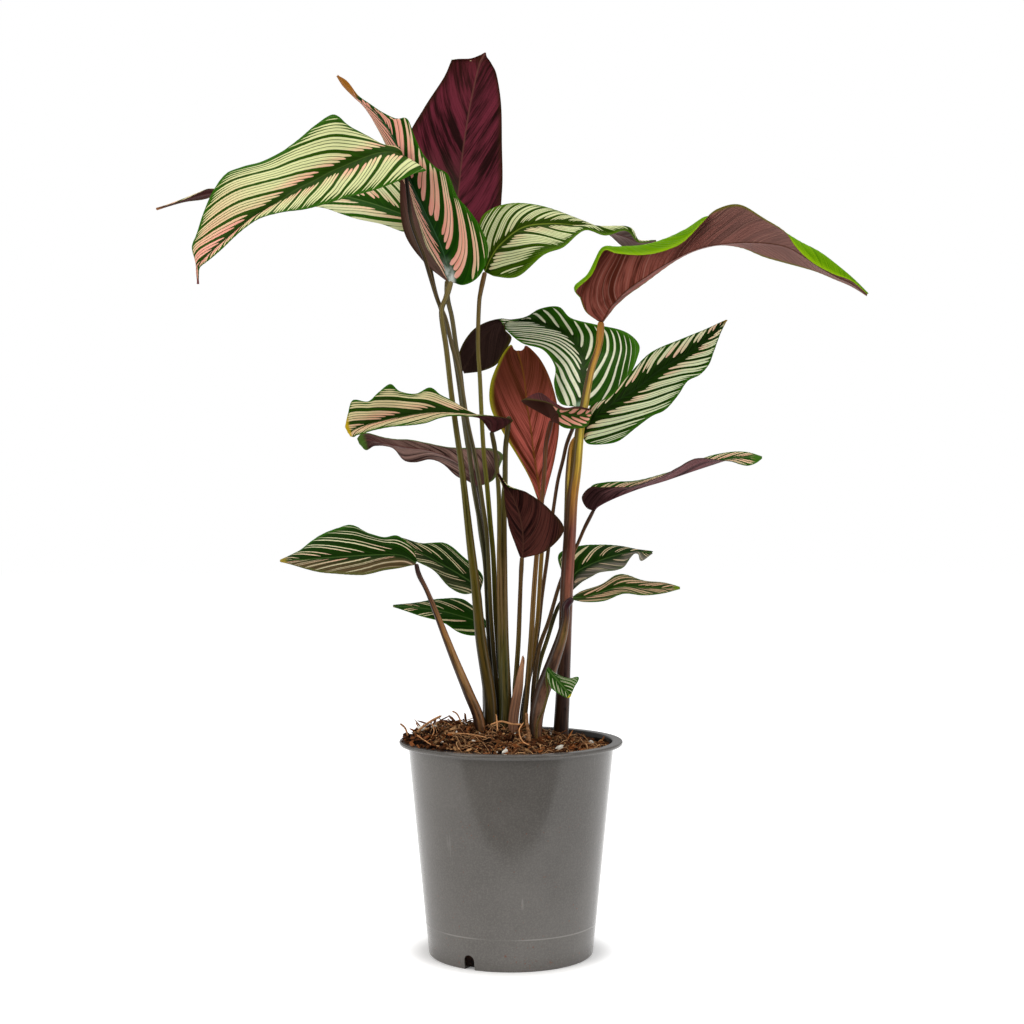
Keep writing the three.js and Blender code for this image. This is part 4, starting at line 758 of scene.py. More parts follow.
# dry is the start and the colour of a dried tip, bloom the reach and the colour of a painted sheen
# near the base, heel the reach and the colour of a dark base, sheen the colour of a painted sheen with
# its share on the left and right halves, and gloss the shine and the roughness, where they aren't a
# plain leaf's.
LOOKS = {
    "upper_left": dict(
        stripes=dict(group=(17, 30), lines=(3, 1), fill=(0.82, 0.79), band=(0.2, 0.17), pink=(0, 0.75, 0.9),
            green=(38, 68, 0), rib=(26, 46, 0), cream=(232, 236, 172), midrib=(74, 96, 36)),
        under=dict(base=(60, 26, 30)),
        dry=(0.97, (110, 40, 40))),
    "behind_left": dict(
        stripes=dict(group=(38, 15), lines=((3, 1), (2, 1)), band=(0.2, 0.26), pink=(0.05, 0.6, 0.2),
            outer=(1.1, 0.95)),
        under=dict(base=(84, 52, 48)),
        dry=(0.985, (150, 96, 50))),
    "pink": dict(
        stripes=dict(group=(14, 19), lines=(2, 1), inner=(2.5, 3), fill=0.86, band=(0.3, 0.32),
            pink=(0.85, 0.6, 0.5), green=(18, 56, 4), rib=(10, 44, 16), midrib=(70, 112, 74),
            outer=(1.05, 0.93), taper=(0.3, 0.6)),
        bloom=(0.19, (244, 250, 246)), dry=(0.9, (158, 100, 30))),
    "tall_maroon": dict(
        under=dict(base=(38, 12, 14), glow=(118, 44, 60), vein=(84, 34, 42), rib=(116, 72, 64),
            tip=(66, 30, 16), edge=(50, 30, 14), grain=0.2, foot=(0.42, (104, 84, 72), (0, 1)))),
    "top_right": dict(
        stripes=dict(group=(13, 20), lines=((2, 2), (4, 1)), inner=(2, 2.5), fill=0.78,
            pink=(0, (0.1, 0.3), 0), rib=(30, 44, 0), green=(38, 64, 0), margin=(84, 122, 8),
            midrib=(150, 166, 56), outer=(0.97, 0.8), cream=(228, 234, 176)),
        under=dict(base=(92, 66, 66), glow=(176, 156, 150), tip=(100, 78, 78))),
    "long_right": dict(
        stripes=dict(group=16, fill=0.3, cream=(214, 230, 176), green=(92, 144, 0), margin=(140, 182, 10),
            rib=(60, 110, 0), midrib=(90, 130, 20), pink=(0, 0, 0), outer=0.6, only=(0.55, 0.65)),
        under=dict(base=(92, 40, 28), glow=(158, 88, 76), vein=(184, 136, 122), rib=(74, 34, 8),
            edge=(112, 116, 8), tip=(136, 104, 98), grain=0.4, tip_from=(0.3, 0.8))),
    "centre": dict(
        stripes=dict(group=(24, 11.5), lines=((2, 1), (1, 0)), inner=(1.5, 1.5), fill=(0.6, 0.52),
            band=(0.1, 0.4), outer=(0.97, 0.9), pink=(0, (0.0, 0.05), 0), cream=(252, 255, 226),
            green=(20, 66, 0), rib=(6, 26, 0), margin=(60, 118, 10), midrib=(20, 48, 10)),
        under=dict(base=(40, 24, 24), glow=(70, 50, 48), vein=(60, 42, 38), rib=(54, 38, 32),
            tip=(40, 26, 22)),
        bloom=(0.07, (150, 184, 156)), gloss=(0.2, 0.24)),
    "right": dict(
        stripes=dict(group=(17, 15), lines=(2, 1), inner=(3, 4), fill=0.86, band=0.27,
            pink=(0.0, (0.6, 0.5), 0), rib=(8, 18, 2), green=(16, 42, 0), outer=0.96, cream=(232, 244, 198),
            midrib=(28, 52, 20)),
        dry=(0.985, (150, 120, 40))),
    "small_cup": dict(
        stripes=dict(group=8, lines=(1, 0), inner=(1, 1), band=0.2, outer=0.82, pink=(1, 0, 0),
            green=(48, 78, 20), rib=(40, 74, 20)),
        under=dict(base=(56, 30, 28)),
        heel=(0.3, (74, 44, 38))),
    "rust": dict(
        under=dict(base=(90, 38, 16), glow=(206, 104, 92), vein=(84, 38, 16), rib=(112, 70, 18),
            edge=((110, 60, 30), (164, 164, 30)), tip=(74, 34, 12), tip_from=(0.25, 0.6), grain=0.4),
        stripes=dict(group=10)),
    "plum": dict(
        under=dict(base=(30, 9, 9), glow=(84, 44, 38), vein=(96, 60, 52), rib=(90, 56, 44),
            edge=(52, 34, 16), tip=(40, 18, 12)),
        stripes=dict(group=9)),
    "mid_left": dict(
        stripes=dict(group=(30, 34), lines=(3, 1), fill=0.8, band=(0.2, 0.28), pink=(0.2, 0.5, 0),
            cream=(224, 222, 164), green=(28, 50, 2), rib=(20, 40, 2), inner=(2, 2)),
        under=dict(base=(46, 22, 22)),
        dry=(0.96, (190, 160, 30))),
    "mid_left_under": dict(
        under=dict(base=(32, 15, 13), glow=(150, 118, 108), grain=0.45, vein=(120, 86, 84),
            edge=((92, 122, 60), (60, 40, 34)), foot=(0.3, (58, 34, 30), (1, 1))),
        stripes=dict(group=24, pink=(0, 0.3, 0)),
        dry=(0.93, (74, 104, 40))),
    "low_left": dict(
        stripes=dict(group=(20, 28), lines=((1, 1), (2, 0)), fill=(0.4, 0.34), inner=(2, 3), band=0.4,
            pink=(0.12, (0.7, 0.4), 0), green=(12, 38, 2), rib=(8, 28, 2), cream=(238, 242, 194)),
        sheen=((128, 92, 72), 0.6, 0.0), dry=(0.965, (150, 130, 40))),
    "low_left_back": dict(
        stripes=dict(group=22, lines=(2, 0), fill=0.4, inner=(2, 3), band=0.45, pink=(0.1, 0.3, 0),
            green=(8, 26, 0), rib=(6, 22, 0), cream=(226, 230, 176)),
        sheen=((96, 92, 70), 0.5, 0.0)),
    "lowest_left": dict(
        stripes=dict(group=24, lines=(1, 1), fill=0.42, inner=(2, 3), band=0.4, pink=(0.15, 0.3, 0),
            green=(10, 44, 2))),
    "low_right": dict(
        stripes=dict(group=22, lines=(2, 1), fill=0.6, inner=(1.5, 2), band=0.24, pink=(0.3, 0.2, 0),
            green=(26, 42, 2), rib=(20, 36, 2), cream=(176, 170, 122)),
        sheen=((104, 96, 76), 0.3, 0.3), dry=(0.95, (96, 120, 20))),
    "low_right_back": dict(
        stripes=dict(group=(14, 12), lines=(1, 1), fill=(0.5, 0.4), inner=(2, 2), band=0.5,
            pink=(0.3, 0.2, 0), green=(16, 44, 2), rib=(10, 34, 2)),
        sheen=((132, 122, 114), 0.0, 0.85)),
    "edge_on_right": dict(
        under=dict(base=(34, 12, 14), glow=(124, 82, 84), vein=(84, 48, 56), rib=(78, 42, 50),
            edge=(60, 40, 30), tip=(104, 66, 70), foot=(0.3, (30, 9, 9), (1, 1)), grain=0.4),
        stripes=dict(group=20, lines=(2, 1), fill=0.7, pink=(0.6, 0.2, 0)),
        dry=(0.93, (60, 104, 20))),
    "baby": dict(
        stripes=dict(group=5, lines=(1, 1), fill=0.42, inner=(1, 1), band=0.4, pink=(0.0, 0.1, 0),
            green=(50, 88, 30), cream=(206, 216, 176)),
        dry=(0.93, (180, 170, 40))),
}


# %% Leaf finishes
LEAF_GLOSS = 0.05


def both_sides(f, right, value):
    """A number for both halves, or a pair for the left and right halves, chosen by the right mask."""
    if not isinstance(value, tuple):
        return float(value)
    left_value, right_value = value
    return f.scaled(right, right_value - left_value, left_value)


def pick(value, k):
    """Entry k of a pair, or of each of two pairs for the left and right halves."""
    return tuple(pair[k] for pair in value) if isinstance(value[0], tuple) else value[k]


def sheet_measures(f):
    """The measures kept on the blade, with away, the share out, right, the half, and streak.

    streak is noise drawn out along the side veins, for light and dark streaks.
    """
    at = SimpleNamespace(**{key: f.attribute(key) for key in ("vein", "width", "side", "along")})
    at.away = f.math("ABSOLUTE", at.side)
    at.right = f.math("GREATER_THAN", at.side, 0.0)
    spot = f.join(f.times(at.vein, 0.55), f.times(at.width, 0.035))
    at.streak = f.noise(spot, 1.0, 3.0, 0.6)
    return at


def dried(f, color, look, at):
    """Turns the last stretch before the tip to the dry colour, with a ragged start."""
    if "dry" not in look:
        return color
    start, dry = look["dry"]
    ragged = f.noise(f.place(), 160.0)
    place = f.scaled(ragged, 0.06, at.along)
    return f.mix(f.step(place, start, start + 0.05), color, dry)


def shaded_parts(f, color, look, at):
    """A dark heel at the base and a painted sheen, a silvery reflection, on one half, where the look asks
    for them.
    """
    if "heel" in look:
        reach, dark = look["heel"]
        color = f.mix(f.step(at.along, reach, reach - 0.04), color, dark)
    # Painted sheen: a silvery reflection laid on as colour, in streaks and stronger towards the margin.
    if "sheen" in look:
        painted_sheen_color, on_left, on_right = look["sheen"]
        share = both_sides(f, at.right, (on_left, on_right))
        share = f.times(share, f.step(at.streak, 0.3, 0.6))
        share = f.times(share, f.step(at.away, 0.1, 0.7))
        color = f.mix(share, color, painted_sheen_color)
    return color


def bloomed(f, color, look, at):
    """A painted sheen: a pale silky patch of reflected light beside the midrib near the base."""
    if "bloom" not in look:
        return color
    reach, pale = look["bloom"]
    patch = f.times(f.step(at.along, reach, 0.02), f.step(at.width, 7.0, 2.0))
    cloudy = f.step(f.noise(f.place(), 120.0, 4.0), 0.35, 0.6, 0.2, 0.95)
    return f.mix(f.times(patch, cloudy), color, pale)


# %% Count the lines off along the veins
def bunched(f, s, at, half):
    """The bunch and the line that a point lies in, as numbers, and its place across the line.

    The bunch is the whole part of vein / group. What is left of it, less the green band, is cut
    into the bunch's lines. off_centre goes from 0 in a line's middle to 1 at its side.
    """
    bent = f.scaled(f.noise(f.place(), 55.0, 2.0), 2.0, at.vein)
    groups = f.math("DIVIDE", bent, both_sides(f, at.right, s["group"]))
    group = f.math("FLOOR", groups)
    more = f.plus(both_sides(f, at.right, pick(s["lines"], 1)), 0.999)
    extra = f.math("FLOOR", f.times(f.chance(group, half), more))
    lines = f.plus(extra, both_sides(f, at.right, pick(s["lines"], 0)))
    share = both_sides(f, at.right, s["band"])
    band = f.times(share, f.scaled(f.chance(half, group), 0.6, 0.7))
    within = f.minus(f.math("FRACT", groups), f.times(band, 0.5))
    within = f.math("DIVIDE", within, f.minus(1.0, band))
    inside = f.times(f.math("GREATER_THAN", within, 0.0), f.math("LESS_THAN", within, 1.0))
    counted = f.times(within, lines)
    line = f.scaled(group, 7.0, f.math("FLOOR", counted))
    from_middle = f.minus(f.math("FRACT", counted), 0.5)
    off_centre = f.times(f.math("ABSOLUTE", from_middle), 2.0)
    return group, line, off_centre, inside


def drawn_lines(f, s, at, half, line, off_centre, inside):
    """1 on the pale lines and 0 between, and the distance past the start of the line.

    A line is as wide as its fill, narrowed by a square root at its start and at its end, so that
    both ends are round.
    """
    start = f.scaled(f.chance(line, half), float(s["inner"][1]), float(s["inner"][0]))
    start = f.times(start, f.step(at.along, *s["taper"], 1.0, 0.2))
    past = f.minus(at.width, start)
    rounded = f.math("SQRT", f.math("DIVIDE", past, 2.2, clamp=True))
    stop = f.scaled(f.chance(half, line), 0.08, -0.04)
    stop = f.plus(stop, both_sides(f, at.right, s["outer"]))
    fading = f.math("SQRT", f.math("DIVIDE", f.minus(stop, at.away), 0.2, clamp=True))
    fill = f.scaled(f.chance(f.plus(line, 0.5), half), 0.12, -0.06)
    fill = f.plus(fill, both_sides(f, at.right, s["fill"]))
    reach = f.times(rounded, fading, fill)
    mask = f.step(f.minus(reach, off_centre), -0.09, 0.09)
    mask = f.times(mask, inside, f.math("GREATER_THAN", past, 0.0))
    return f.times(mask, f.step(at.along, *s["only"][::-1])), past


# %% Colours of the upper side
def green_ground(f, s, at):
    """Dark beside the midrib, lighter at the margin, streaked along the veins, with a pale midrib."""
    green = f.mix(f.step(at.width, 0.4, 9.0), s["rib"], s["green"])
    green = f.mix(f.step(at.away, 0.82, 1.0), green, s["margin"])
    green = f.mix(f.step(at.streak, 0.35, 0.8, 0.0, 0.55), green, s["margin"])
    green = f.mix(f.step(at.streak, 0.5, 0.2, 0.0, 0.45), green, shade_of(s["rib"], 0.5))
    return f.mix(f.step(at.width, 0.8, 0.4, 0.0, 0.45), green, s["midrib"])


def pale_lines(f, s, at, group, line, past):
    """Cream with a share of pink, which comes from the start of the line, the tip or everywhere."""
    cream = f.mix(f.step(at.streak, 0.3, 0.75), s["cream"], shade_of(s["cream"], 0.86))
    fleck = f.noise(f.place(), 240.0, 2.0)
    cream = f.mix(f.step(fleck, 0.5, 0.75, 0.0, 0.3), cream, (206, 204, 138))
    everywhere, near_rib, near_tip = s["pink"]
    blush = f.times(f.step(past, 10.0, 0.0), both_sides(f, at.right, near_rib))
    blush = f.times(blush, f.scaled(f.chance(group, line), 0.9, 0.35))
    edge_cream = f.step(at.away, 1.0, 0.55, 0.3, 1.0)
    all_over = f.plus(f.times(f.step(at.along, 0.5, 0.85), near_tip), everywhere)
    blush = f.math("ADD", blush, f.times(edge_cream, all_over), clamp=True)
    pink = f.mix(f.step(at.streak, 0.35, 0.7), (248, 184, 164), (236, 146, 126))
    return f.mix(blush, cream, pink)


def striped_finish(name, look, seed):
    """The upper side: lines in bunches between green bands, counted along the side veins."""
    s = {**STRIPES, **look.get("stripes", {})}
    gloss, rough = look.get("gloss", (LEAF_GLOSS, 0.32))
    f = Finish(f"{name}_striped", Specular_IOR_Level=gloss, Specular_Tint=(0.9, 1.0, 0.6, 1))
    at = sheet_measures(f)
    half = f.scaled(at.right, 31.0, float(seed))
    group, line, off_centre, inside = bunched(f, s, at, half)
    mask, past = drawn_lines(f, s, at, half, line, off_centre, inside)
    color = f.mix(mask, green_ground(f, s, at), pale_lines(f, s, at, group, line, past))
    color = shaded_parts(f, bloomed(f, color, look, at), look, at)
    f.color(dried(f, color, look, at))
    fine = f.plus(f.times(at.streak, 0.6), f.times(mask, 0.25))
    f.bump(fine, 0.35, 0.0006)
    f.roughness(f.step(at.streak, 0.2, 0.8, rough, rough + 0.18))
    return f.material


# %% [markdown]
# ## The underside
#
# Underneath, the leaf is wine red, cloudy and streaked, with pale side veins and a green edge where
# the upper side shows through. It uses the same measures, so its veins lie under those above.

# %% Colours of the underside
def red_ground(f, u, at):
    """The base colour with a glow in clouds, its tip and its foot, streaked along the veins."""
    drawn_out = f.join(f.times(at.vein, 0.07), f.times(at.width, 0.03),
                       f.math("SIGN", at.side))
    broad = f.times(f.noise(drawn_out, 1.0, 4.0, 0.6), 1.1 - u["grain"])
    clouds = f.scaled(at.streak, u["grain"], broad)
    color = f.mix(f.step(clouds, 0.45, 0.64), u["base"], u["glow"])
    color = f.mix(f.step(at.along, *u["tip_from"], 0.0, 0.85), color, u["tip"])
    reach, foot, halves = u["foot"]
    low_down = f.step(at.along, reach, 0.5 * reach, 0.0, 0.85)
    low_down = f.times(low_down, both_sides(f, at.right, halves))
    color = f.mix(low_down, color, foot)
    return f.mix(f.step(at.streak, 0.5, 0.25, 0.0, 0.6), color, shade_of(u["base"], 0.6)), clouds


def under_finish(name, look):
    """The underside: wine red, cloudy, with pale side veins and a green edge."""
    u = {**UNDER, **look.get("under", {})}
    f = Finish(f"{name}_under", Specular_IOR_Level=LEAF_GLOSS, Specular_Tint=(1.0, 0.8, 0.7, 1))
    at = sheet_measures(f)
    color, clouds = red_ground(f, u, at)
    wander = f.scaled(f.noise(f.place(), 40.0, 2.0), 3.0, at.vein)
    veins = f.math("DIVIDE", wander, VEIN_SPACING)
    line = f.math("ABSOLUTE", f.minus(f.math("FRACT", veins), 0.5))
    seldom = f.chance(f.math("FLOOR", veins), f.math("SIGN", at.side))
    shown = f.times(f.step(line, 0.16, 0.0), f.step(seldom, 0.3, 0.9, 0.1, 0.6))
    color = f.mix(shown, color, u["vein"])
    color = f.mix(f.step(at.width, 0.9, 0.3, 0.0, 0.7), color, u["rib"])
    edges = u["edge"] if isinstance(u["edge"][0], tuple) else (u["edge"], u["edge"])
    edge = f.mix(at.right, edges[0], edges[1])
    color = f.mix(f.step(at.away, 0.84, 1.0, 0.0, 0.85), color, edge)
    f.color(dried(f, color, look, at))
    f.bump(f.plus(at.streak, f.step(line, 0.14, 0.0, 0.0, 0.6)), 0.4, 0.0006)
    f.roughness(f.step(clouds, 0.3, 0.7, 0.42, 0.56))
    return f.material


def make_blade(name, leaf, seed):
    """One blade in the place of its solid, with its measures on the mesh; counts its triangles."""
    look = LOOKS[name]
    sheet = shape_sheet(name, leaf)
    rib_height = np.clip(sheet["length"] / 190, 0.25, 1.2)
    points, faces, upper = slab(sheet, rib_height)
    side = np.broadcast_to(sheet["side"], sheet["width"].shape)
    twice = {key: np.tile(np.ravel(value), 2) for key, value in
             dict(vein=sheet["vein"], width=sheet["width"], side=side, along=sheet["t"]).items()}
    blade = new_piece(f"leaf_{name}", points, faces, **twice)
    blade.data.materials.append(striped_finish(name, look, seed))
    blade.data.materials.append(under_finish(name, look))
    shown = np.ones(len(faces), np.int32)
    shown[:upper] = 0
    blade.data.polygons.foreach_set("material_index", shown)
    blade.data.set_sharp_from_angle(angle=math.radians(55))
    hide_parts(f"blade_{name}")
    return len(faces) * 2


triangles = {name: make_blade(name, leaf, seed) for seed, (name, leaf) in enumerate(LEAVES.items())}
print("blade triangles:", sum(triangles.values()))

# %% [markdown]
# ## Stalks
#
# A stalk is a round rod, thicker and darker towards the crown, with a shallow channel along it. A
# curve with a bevel would do for one plain rod. Here a ring of points is carried along the drawn
# path instead, so that its radius, its channel and the share of its length are known at every point,
# and the colours can run along it.


# %% The rod along a path
STALK_SIDES = 18
STALK_STEP = 2.2
STALK_DEPTH = 26.0
# A stalk's top starts this far beyond the blade's base, less what it goes into the blade.
SEAT_GAP = 0.7
SEATED = 1.2


def stalk_path(stalk, carried):
    """Drawn points of a stalk with its seat at the blade's base first and its foot last, top down."""
    drawn = seen(stalk["path"])
    if carried:
        leaf = LEAVES[carried]
        base = seen(leaf["midrib"][:1])[0]
        away = drawn[0] - base
        away = away / np.linalg.norm(away)
        depth = leaf["midrib"][0][2]
        corners = seen([(*leaf["left"][0], depth), (*leaf["right"][0], depth)])
        reach = max(0.0, float(((corners - base) @ away).max()))
        gap = reach + SEAT_GAP + stalk.get("seat", 0) - SEATED
        drawn = np.concatenate([[base + away * gap], drawn])
    foot = drawn[-1] - np.array([0, 0, STALK_DEPTH])
    return np.concatenate([drawn, [foot]])


def carried_ring(path, radii, sides, channel=0.12):
    """Points of a rod, shape (along, around, 3), its ends rounded off to a point.

    The ring's first direction is square to the path and to the depth axis. The radius is
    the listed one, less a shallow channel on one side.
    """
    forward = np.gradient(path, axis=0)
    forward /= np.linalg.norm(forward, axis=1, keepdims=True)
    first = np.cross(forward, [0.0, 1.0, 0.0])
    first /= np.linalg.norm(first, axis=1, keepdims=True)
    second = np.cross(forward, first)
    turn = np.linspace(0, 2 * np.pi, sides, endpoint=False)
    shape = 1 - channel * np.exp(-((turn - np.pi / 2) / 0.45) ** 2)
    distance = travel(path)
    to_end = np.minimum(distance, distance[-1] - distance)
    cap = np.sqrt(np.clip(1 - (1 - to_end / np.maximum(radii, 1e-6)) ** 2, 0, 1))
    cap = np.where(to_end > radii, 1.0, cap)
    reach = (radii * cap)[:, None] * shape
    across = reach[..., None] * np.cos(turn)[None, :, None] * first[:, None]
    return path[:, None] + across + reach[..., None] * np.sin(turn)[None, :, None] * second[:, None]


def tube_faces(rows, sides):
    """Quads round a rod, and one many-sided face over each end."""
    index = np.arange(rows * sides).reshape(rows, sides)
    after = np.roll(index, -1, axis=1)
    quads = np.stack([index[:-1], index[1:], after[1:], after[:-1]], axis=-1).reshape(-1, 4)
    return [tuple(q) for q in quads] + [tuple(index[0]), tuple(index[-1][::-1])]


def rod(stalk, carried):
    """One stalk from its crown to its blade, with the share of its length at each point."""
    corners = stalk_path(stalk, carried)
    fine = smooth(corners, np.linspace(0, 1, 400))
    distance = travel(fine)
    length = distance[-1]
    ends = np.array([0.0, 0.25, 0.7, 1.3])
    along = np.linspace(STALK_STEP, length - STALK_STEP, int(length / STALK_STEP))
    places = np.concatenate([ends, along, length - ends[::-1]])
    path = np.stack([np.interp(places, distance, fine[:, k]) for k in range(3)], axis=1)
    share = places / length
    radii = np.interp(share, np.linspace(0, 1, len(stalk["radii"])), stalk["radii"])
    swelling = 0.16 * np.exp(-((places - 9) / 7) ** 2) if carried else 0
    points = carried_ring(path, radii * (1 + swelling), STALK_SIDES)
    return points, np.repeat(share, STALK_SIDES)


# %% [markdown]
# Up close a stalk is never one colour: it is dark in the crown, paler and warmer higher up. So each
# has its own run of colours, and streaks that follow it. Light and shade are painted on top: a
# highlight band where it faces the eye and on its right flank, and shade along both edges and, on a
# few, down the left flank.

# %% Stalk finish
# Colours from the crown up to the blade, as the eye sees them.
STALK_COLORS = {
    "upper_left": [(38, 32, 9), (77, 72, 25), (87, 84, 48), (104, 98, 68), (42, 30, 15), (17, 10, 4)],
    "behind_left": [(25, 24, 9), (52, 59, 28), (81, 80, 51), (73, 62, 38), (62, 46, 30)],
    "pink": [(44, 31, 3), (71, 60, 6), (87, 80, 10), (96, 94, 30), (108, 100, 46), (121, 104, 56)],
    "tall_maroon": [(25, 20, 9), (54, 52, 25), (87, 86, 53), (92, 88, 54), (104, 90, 48)],
    "top_right": [(37, 31, 8), (77, 72, 14), (133, 132, 33), (116, 112, 38), (114, 80, 43)],
    "long_right": [(30, 22, 20), (52, 36, 34), (64, 44, 38), (150, 100, 74), (160, 90, 74), (152, 84, 68),
                   (206, 146, 46), (236, 210, 66), (234, 200, 80), (222, 164, 66), (170, 110, 40)],
    "centre": [(32, 22, 9), (71, 52, 21), (100, 66, 36), (79, 46, 25), (52, 34, 18)],
    "small_cup": [(35, 26, 6), (84, 67, 21), (125, 88, 38), (114, 66, 41), (87, 48, 28)],
    "rust": [(36, 28, 7), (81, 62, 17), (127, 96, 28), (141, 106, 30), (146, 100, 27)],
    "plum": [(28, 25, 6), (61, 55, 14), (87, 74, 27), (81, 54, 30), (94, 70, 35)],
    "mid_left": [(25, 26, 5), (65, 66, 18), (121, 92, 51), (96, 92, 36), (73, 60, 25)],
    "mid_left_under": [(21, 16, 8), (56, 42, 23), (81, 64, 35), (62, 46, 27), (46, 34, 22)],
    "low_left": [(42, 28, 12), (101, 71, 42), (176, 134, 84), (156, 112, 56), (86, 52, 36), (56, 32, 30)],
    "low_left_back": [(25, 19, 8), (54, 47, 19), (62, 56, 23)],
    "lowest_left": [(25, 19, 8), (49, 40, 17), (54, 52, 17)],
    "low_right": [(28, 18, 12), (82, 57, 42), (150, 116, 96), (130, 92, 74), (66, 44, 34), (58, 40, 32),
                  (120, 98, 44), (50, 22, 28), (54, 24, 30)],
    "low_right_back": [(32, 30, 7), (73, 72, 21), (83, 82, 25), (60, 76, 20)],
    "edge_on_right": [(37, 29, 11), (86, 67, 30), (110, 80, 45), (92, 60, 35), (69, 42, 25)],
    "baby": [(52, 37, 16), (87, 71, 28), (87, 100, 30)],
}
# Painted shade: a darker flank to the left, and a fainter painted shade along both edges, on the stalks that
# have one.
SHADED_LEFT_FLANK = {"long_right": (58, 36, 20), "low_left": (40, 24, 18), "low_right": (44, 30, 22)}


FAINT_EDGE_SHADE = {"long_right": 0.25}


def sunlit(color, share, light):
    """Some of a colour with a warm light added, less of it on a dark colour."""
    amount = sum(color) / 190
    return tuple(share * part + amount * added for part, added in zip(color, light))


def color_run(f, share, colors):
    """The listed colours as a ramp, from just above the foot to the blade."""
    first = 0.06
    ramp = f.node("ShaderNodeValToRGB", share)
    stops = ramp.color_ramp.elements
    stops[0].position = first
    stops[0].color = paint(*colors[0])
    stops[1].color = paint(*colors[-1])
    for k, color in enumerate(colors[1:-1], start=1):
        stops.new(first + (1 - first) * k / (len(colors) - 1)).color = paint(*color)
    return ramp.outputs[0]


def stalk_finish(name, colors):
    """Runs the colours up the rod, with dark streaks and painted light: highlights in front and on the right
    flank, shade at the edges.
    """
    f = Finish(f"{name}_skin", Specular_IOR_Level=0.28)
    share, ring = f.attribute("up"), f.attribute("ring")
    streak = f.noise(f.join(f.times(ring, 5.0), f.times(share, 7.0)), 1.0, 4.0, 0.65)
    drift = f.scaled(f.noise(f.join(share, 0.0), 9.0, 2.0), 0.16, ring)
    below = f.step(share, 0.96, 0.84)
    dark = shade_of(colors[0], 0.4)

    # Painted highlight: a pale band down the front of the rod, where it faces the eye.
    middle = f.times(f.step(ring, 0.25, 0.42), f.step(ring, 0.68, 0.5))
    front_highlight = f.times(middle, below, f.step(streak, 0.4, 0.6, 0.1, 0.65))
    color = f.mix(front_highlight, color_run(f, share, colors), sunlit(colors[1], 0.72, (62, 42, 26)))
    color = f.mix(f.step(streak, 0.52, 0.3, 0.0, 0.75), color, dark)
    # Painted highlight on the right flank.
    flank = f.times(f.step(drift, 0.72, 0.8), f.step(drift, 0.96, 0.9))
    blush = f.times(flank, below, 0.6)
    color = f.mix(blush, color, sunlit(colors[1], 0.6, (84, 54, 32)))
    # Painted shade down the left flank.
    if name in SHADED_LEFT_FLANK:
        left = f.times(f.step(drift, 0.56, 0.42), f.step(share, 0.97, 0.9, 0.0, 0.9))
        color = f.mix(left, color, SHADED_LEFT_FLANK[name])
    # Painted shade along both edges, where the rod turns away.
    from_middle = f.math("ABSOLUTE", f.scaled(ring, 2.0, -1.0))
    outline = FAINT_EDGE_SHADE.get(name, 0.8)
    color = f.mix(f.step(from_middle, 0.6, 1.0, 0.0, outline), color, dark)
    freckles = f.noise(f.place(), 900.0, 2.0)
    f.color(f.mix(f.step(freckles, 0.66, 0.74, 0.0, 0.35), color, (50, 36, 26)))
    f.bump(streak, 0.3, 0.0004)
    f.roughness(f.step(streak, 0.2, 0.8, 0.24, 0.38))
    return f.material


def make_stalk(name, stalks):
    """All rods of one leaf as one piece.

    ring = 0 at a rod's left side, 1 at its right side, and half in front and behind.
    """
    rods = [rod(stalk, stalk.get("carries", name)) for stalk in stalks]
    points, faces = joined([(ring.reshape(-1, 3), tube_faces(*ring.shape[:2])) for ring, share in rods])
    up = np.concatenate([1 - share for ring, share in rods])
    turn = np.arange(len(points)) % STALK_SIDES / STALK_SIDES
    skin = new_piece(f"petiole_{name}", points, faces, up=up, ring=np.abs(2 * turn - 1))
    skin.data.materials.append(stalk_finish(name, STALK_COLORS[name]))
    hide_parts(f"stalk_{name}")


for name, leaf in LEAVES.items():
    if "stalks" in leaf:
        make_stalk(name, leaf["stalks"])
print("stalks:", sum("stalks" in leaf for leaf in LEAVES.values()))

# %% [markdown]
# ## Dry sheaths
#
# Where a leaf has died back, its sheath stays as a brown papery tube that is split down one side.
# It is the same ring carried along a path, but as a shell: an outer and an inner skin joined at both
# ends, with a ragged mouth and creases along it.


# %% The papery sheath
def wrapped(path, radii, sides, thick=0.35, fray=2.5, seed=3):
    """A thin open tube, shape (2 along, around, 3): up the outside, over the mouth, down the inside.

    radius = the listed one, with 0.06 of creases around; the mouth's height varies by fray.
    """
    rng = np.random.default_rng(seed)
    turn = np.linspace(0, 2 * np.pi, sides, endpoint=False)
    crease = 1 + 0.06 * np.sin(5 * turn + 1) + 0.03 * np.sin(11 * turn)
    outer = carried_ring(path, radii, sides, 0)
    middle = outer.mean(axis=1, keepdims=True)
    skin = middle + (outer - middle) * crease[None, :, None]
    ragged = fray * (np.sin(2 * turn + 0.6) + 0.5 * np.sin(5 * turn) + rng.normal(0, 0.2, sides))
    rise = np.clip(np.linspace(-1, 1, len(path)), 0, 1) ** 3
    skin = skin + (rise[:, None] * ragged)[..., None] * np.array([0, 0, 1.0])
    inner = middle + (skin - middle) * (1 - thick / np.maximum(radii, thick * 2))[:, None, None]
    return np.concatenate([skin, inner[::-1]])


SHEATH_PATH = [(523.5, 660, -6.3), (521, 672, -7), (519, 686, -7.5), (516, 702, -8), (513.5, 722, -8.4)]
SHEATH_RADII = [1.1, 2.4, 3.6, 3.8, 3.8]
SHEATH_STEPS = 60
SHEATH_SIDES = 30


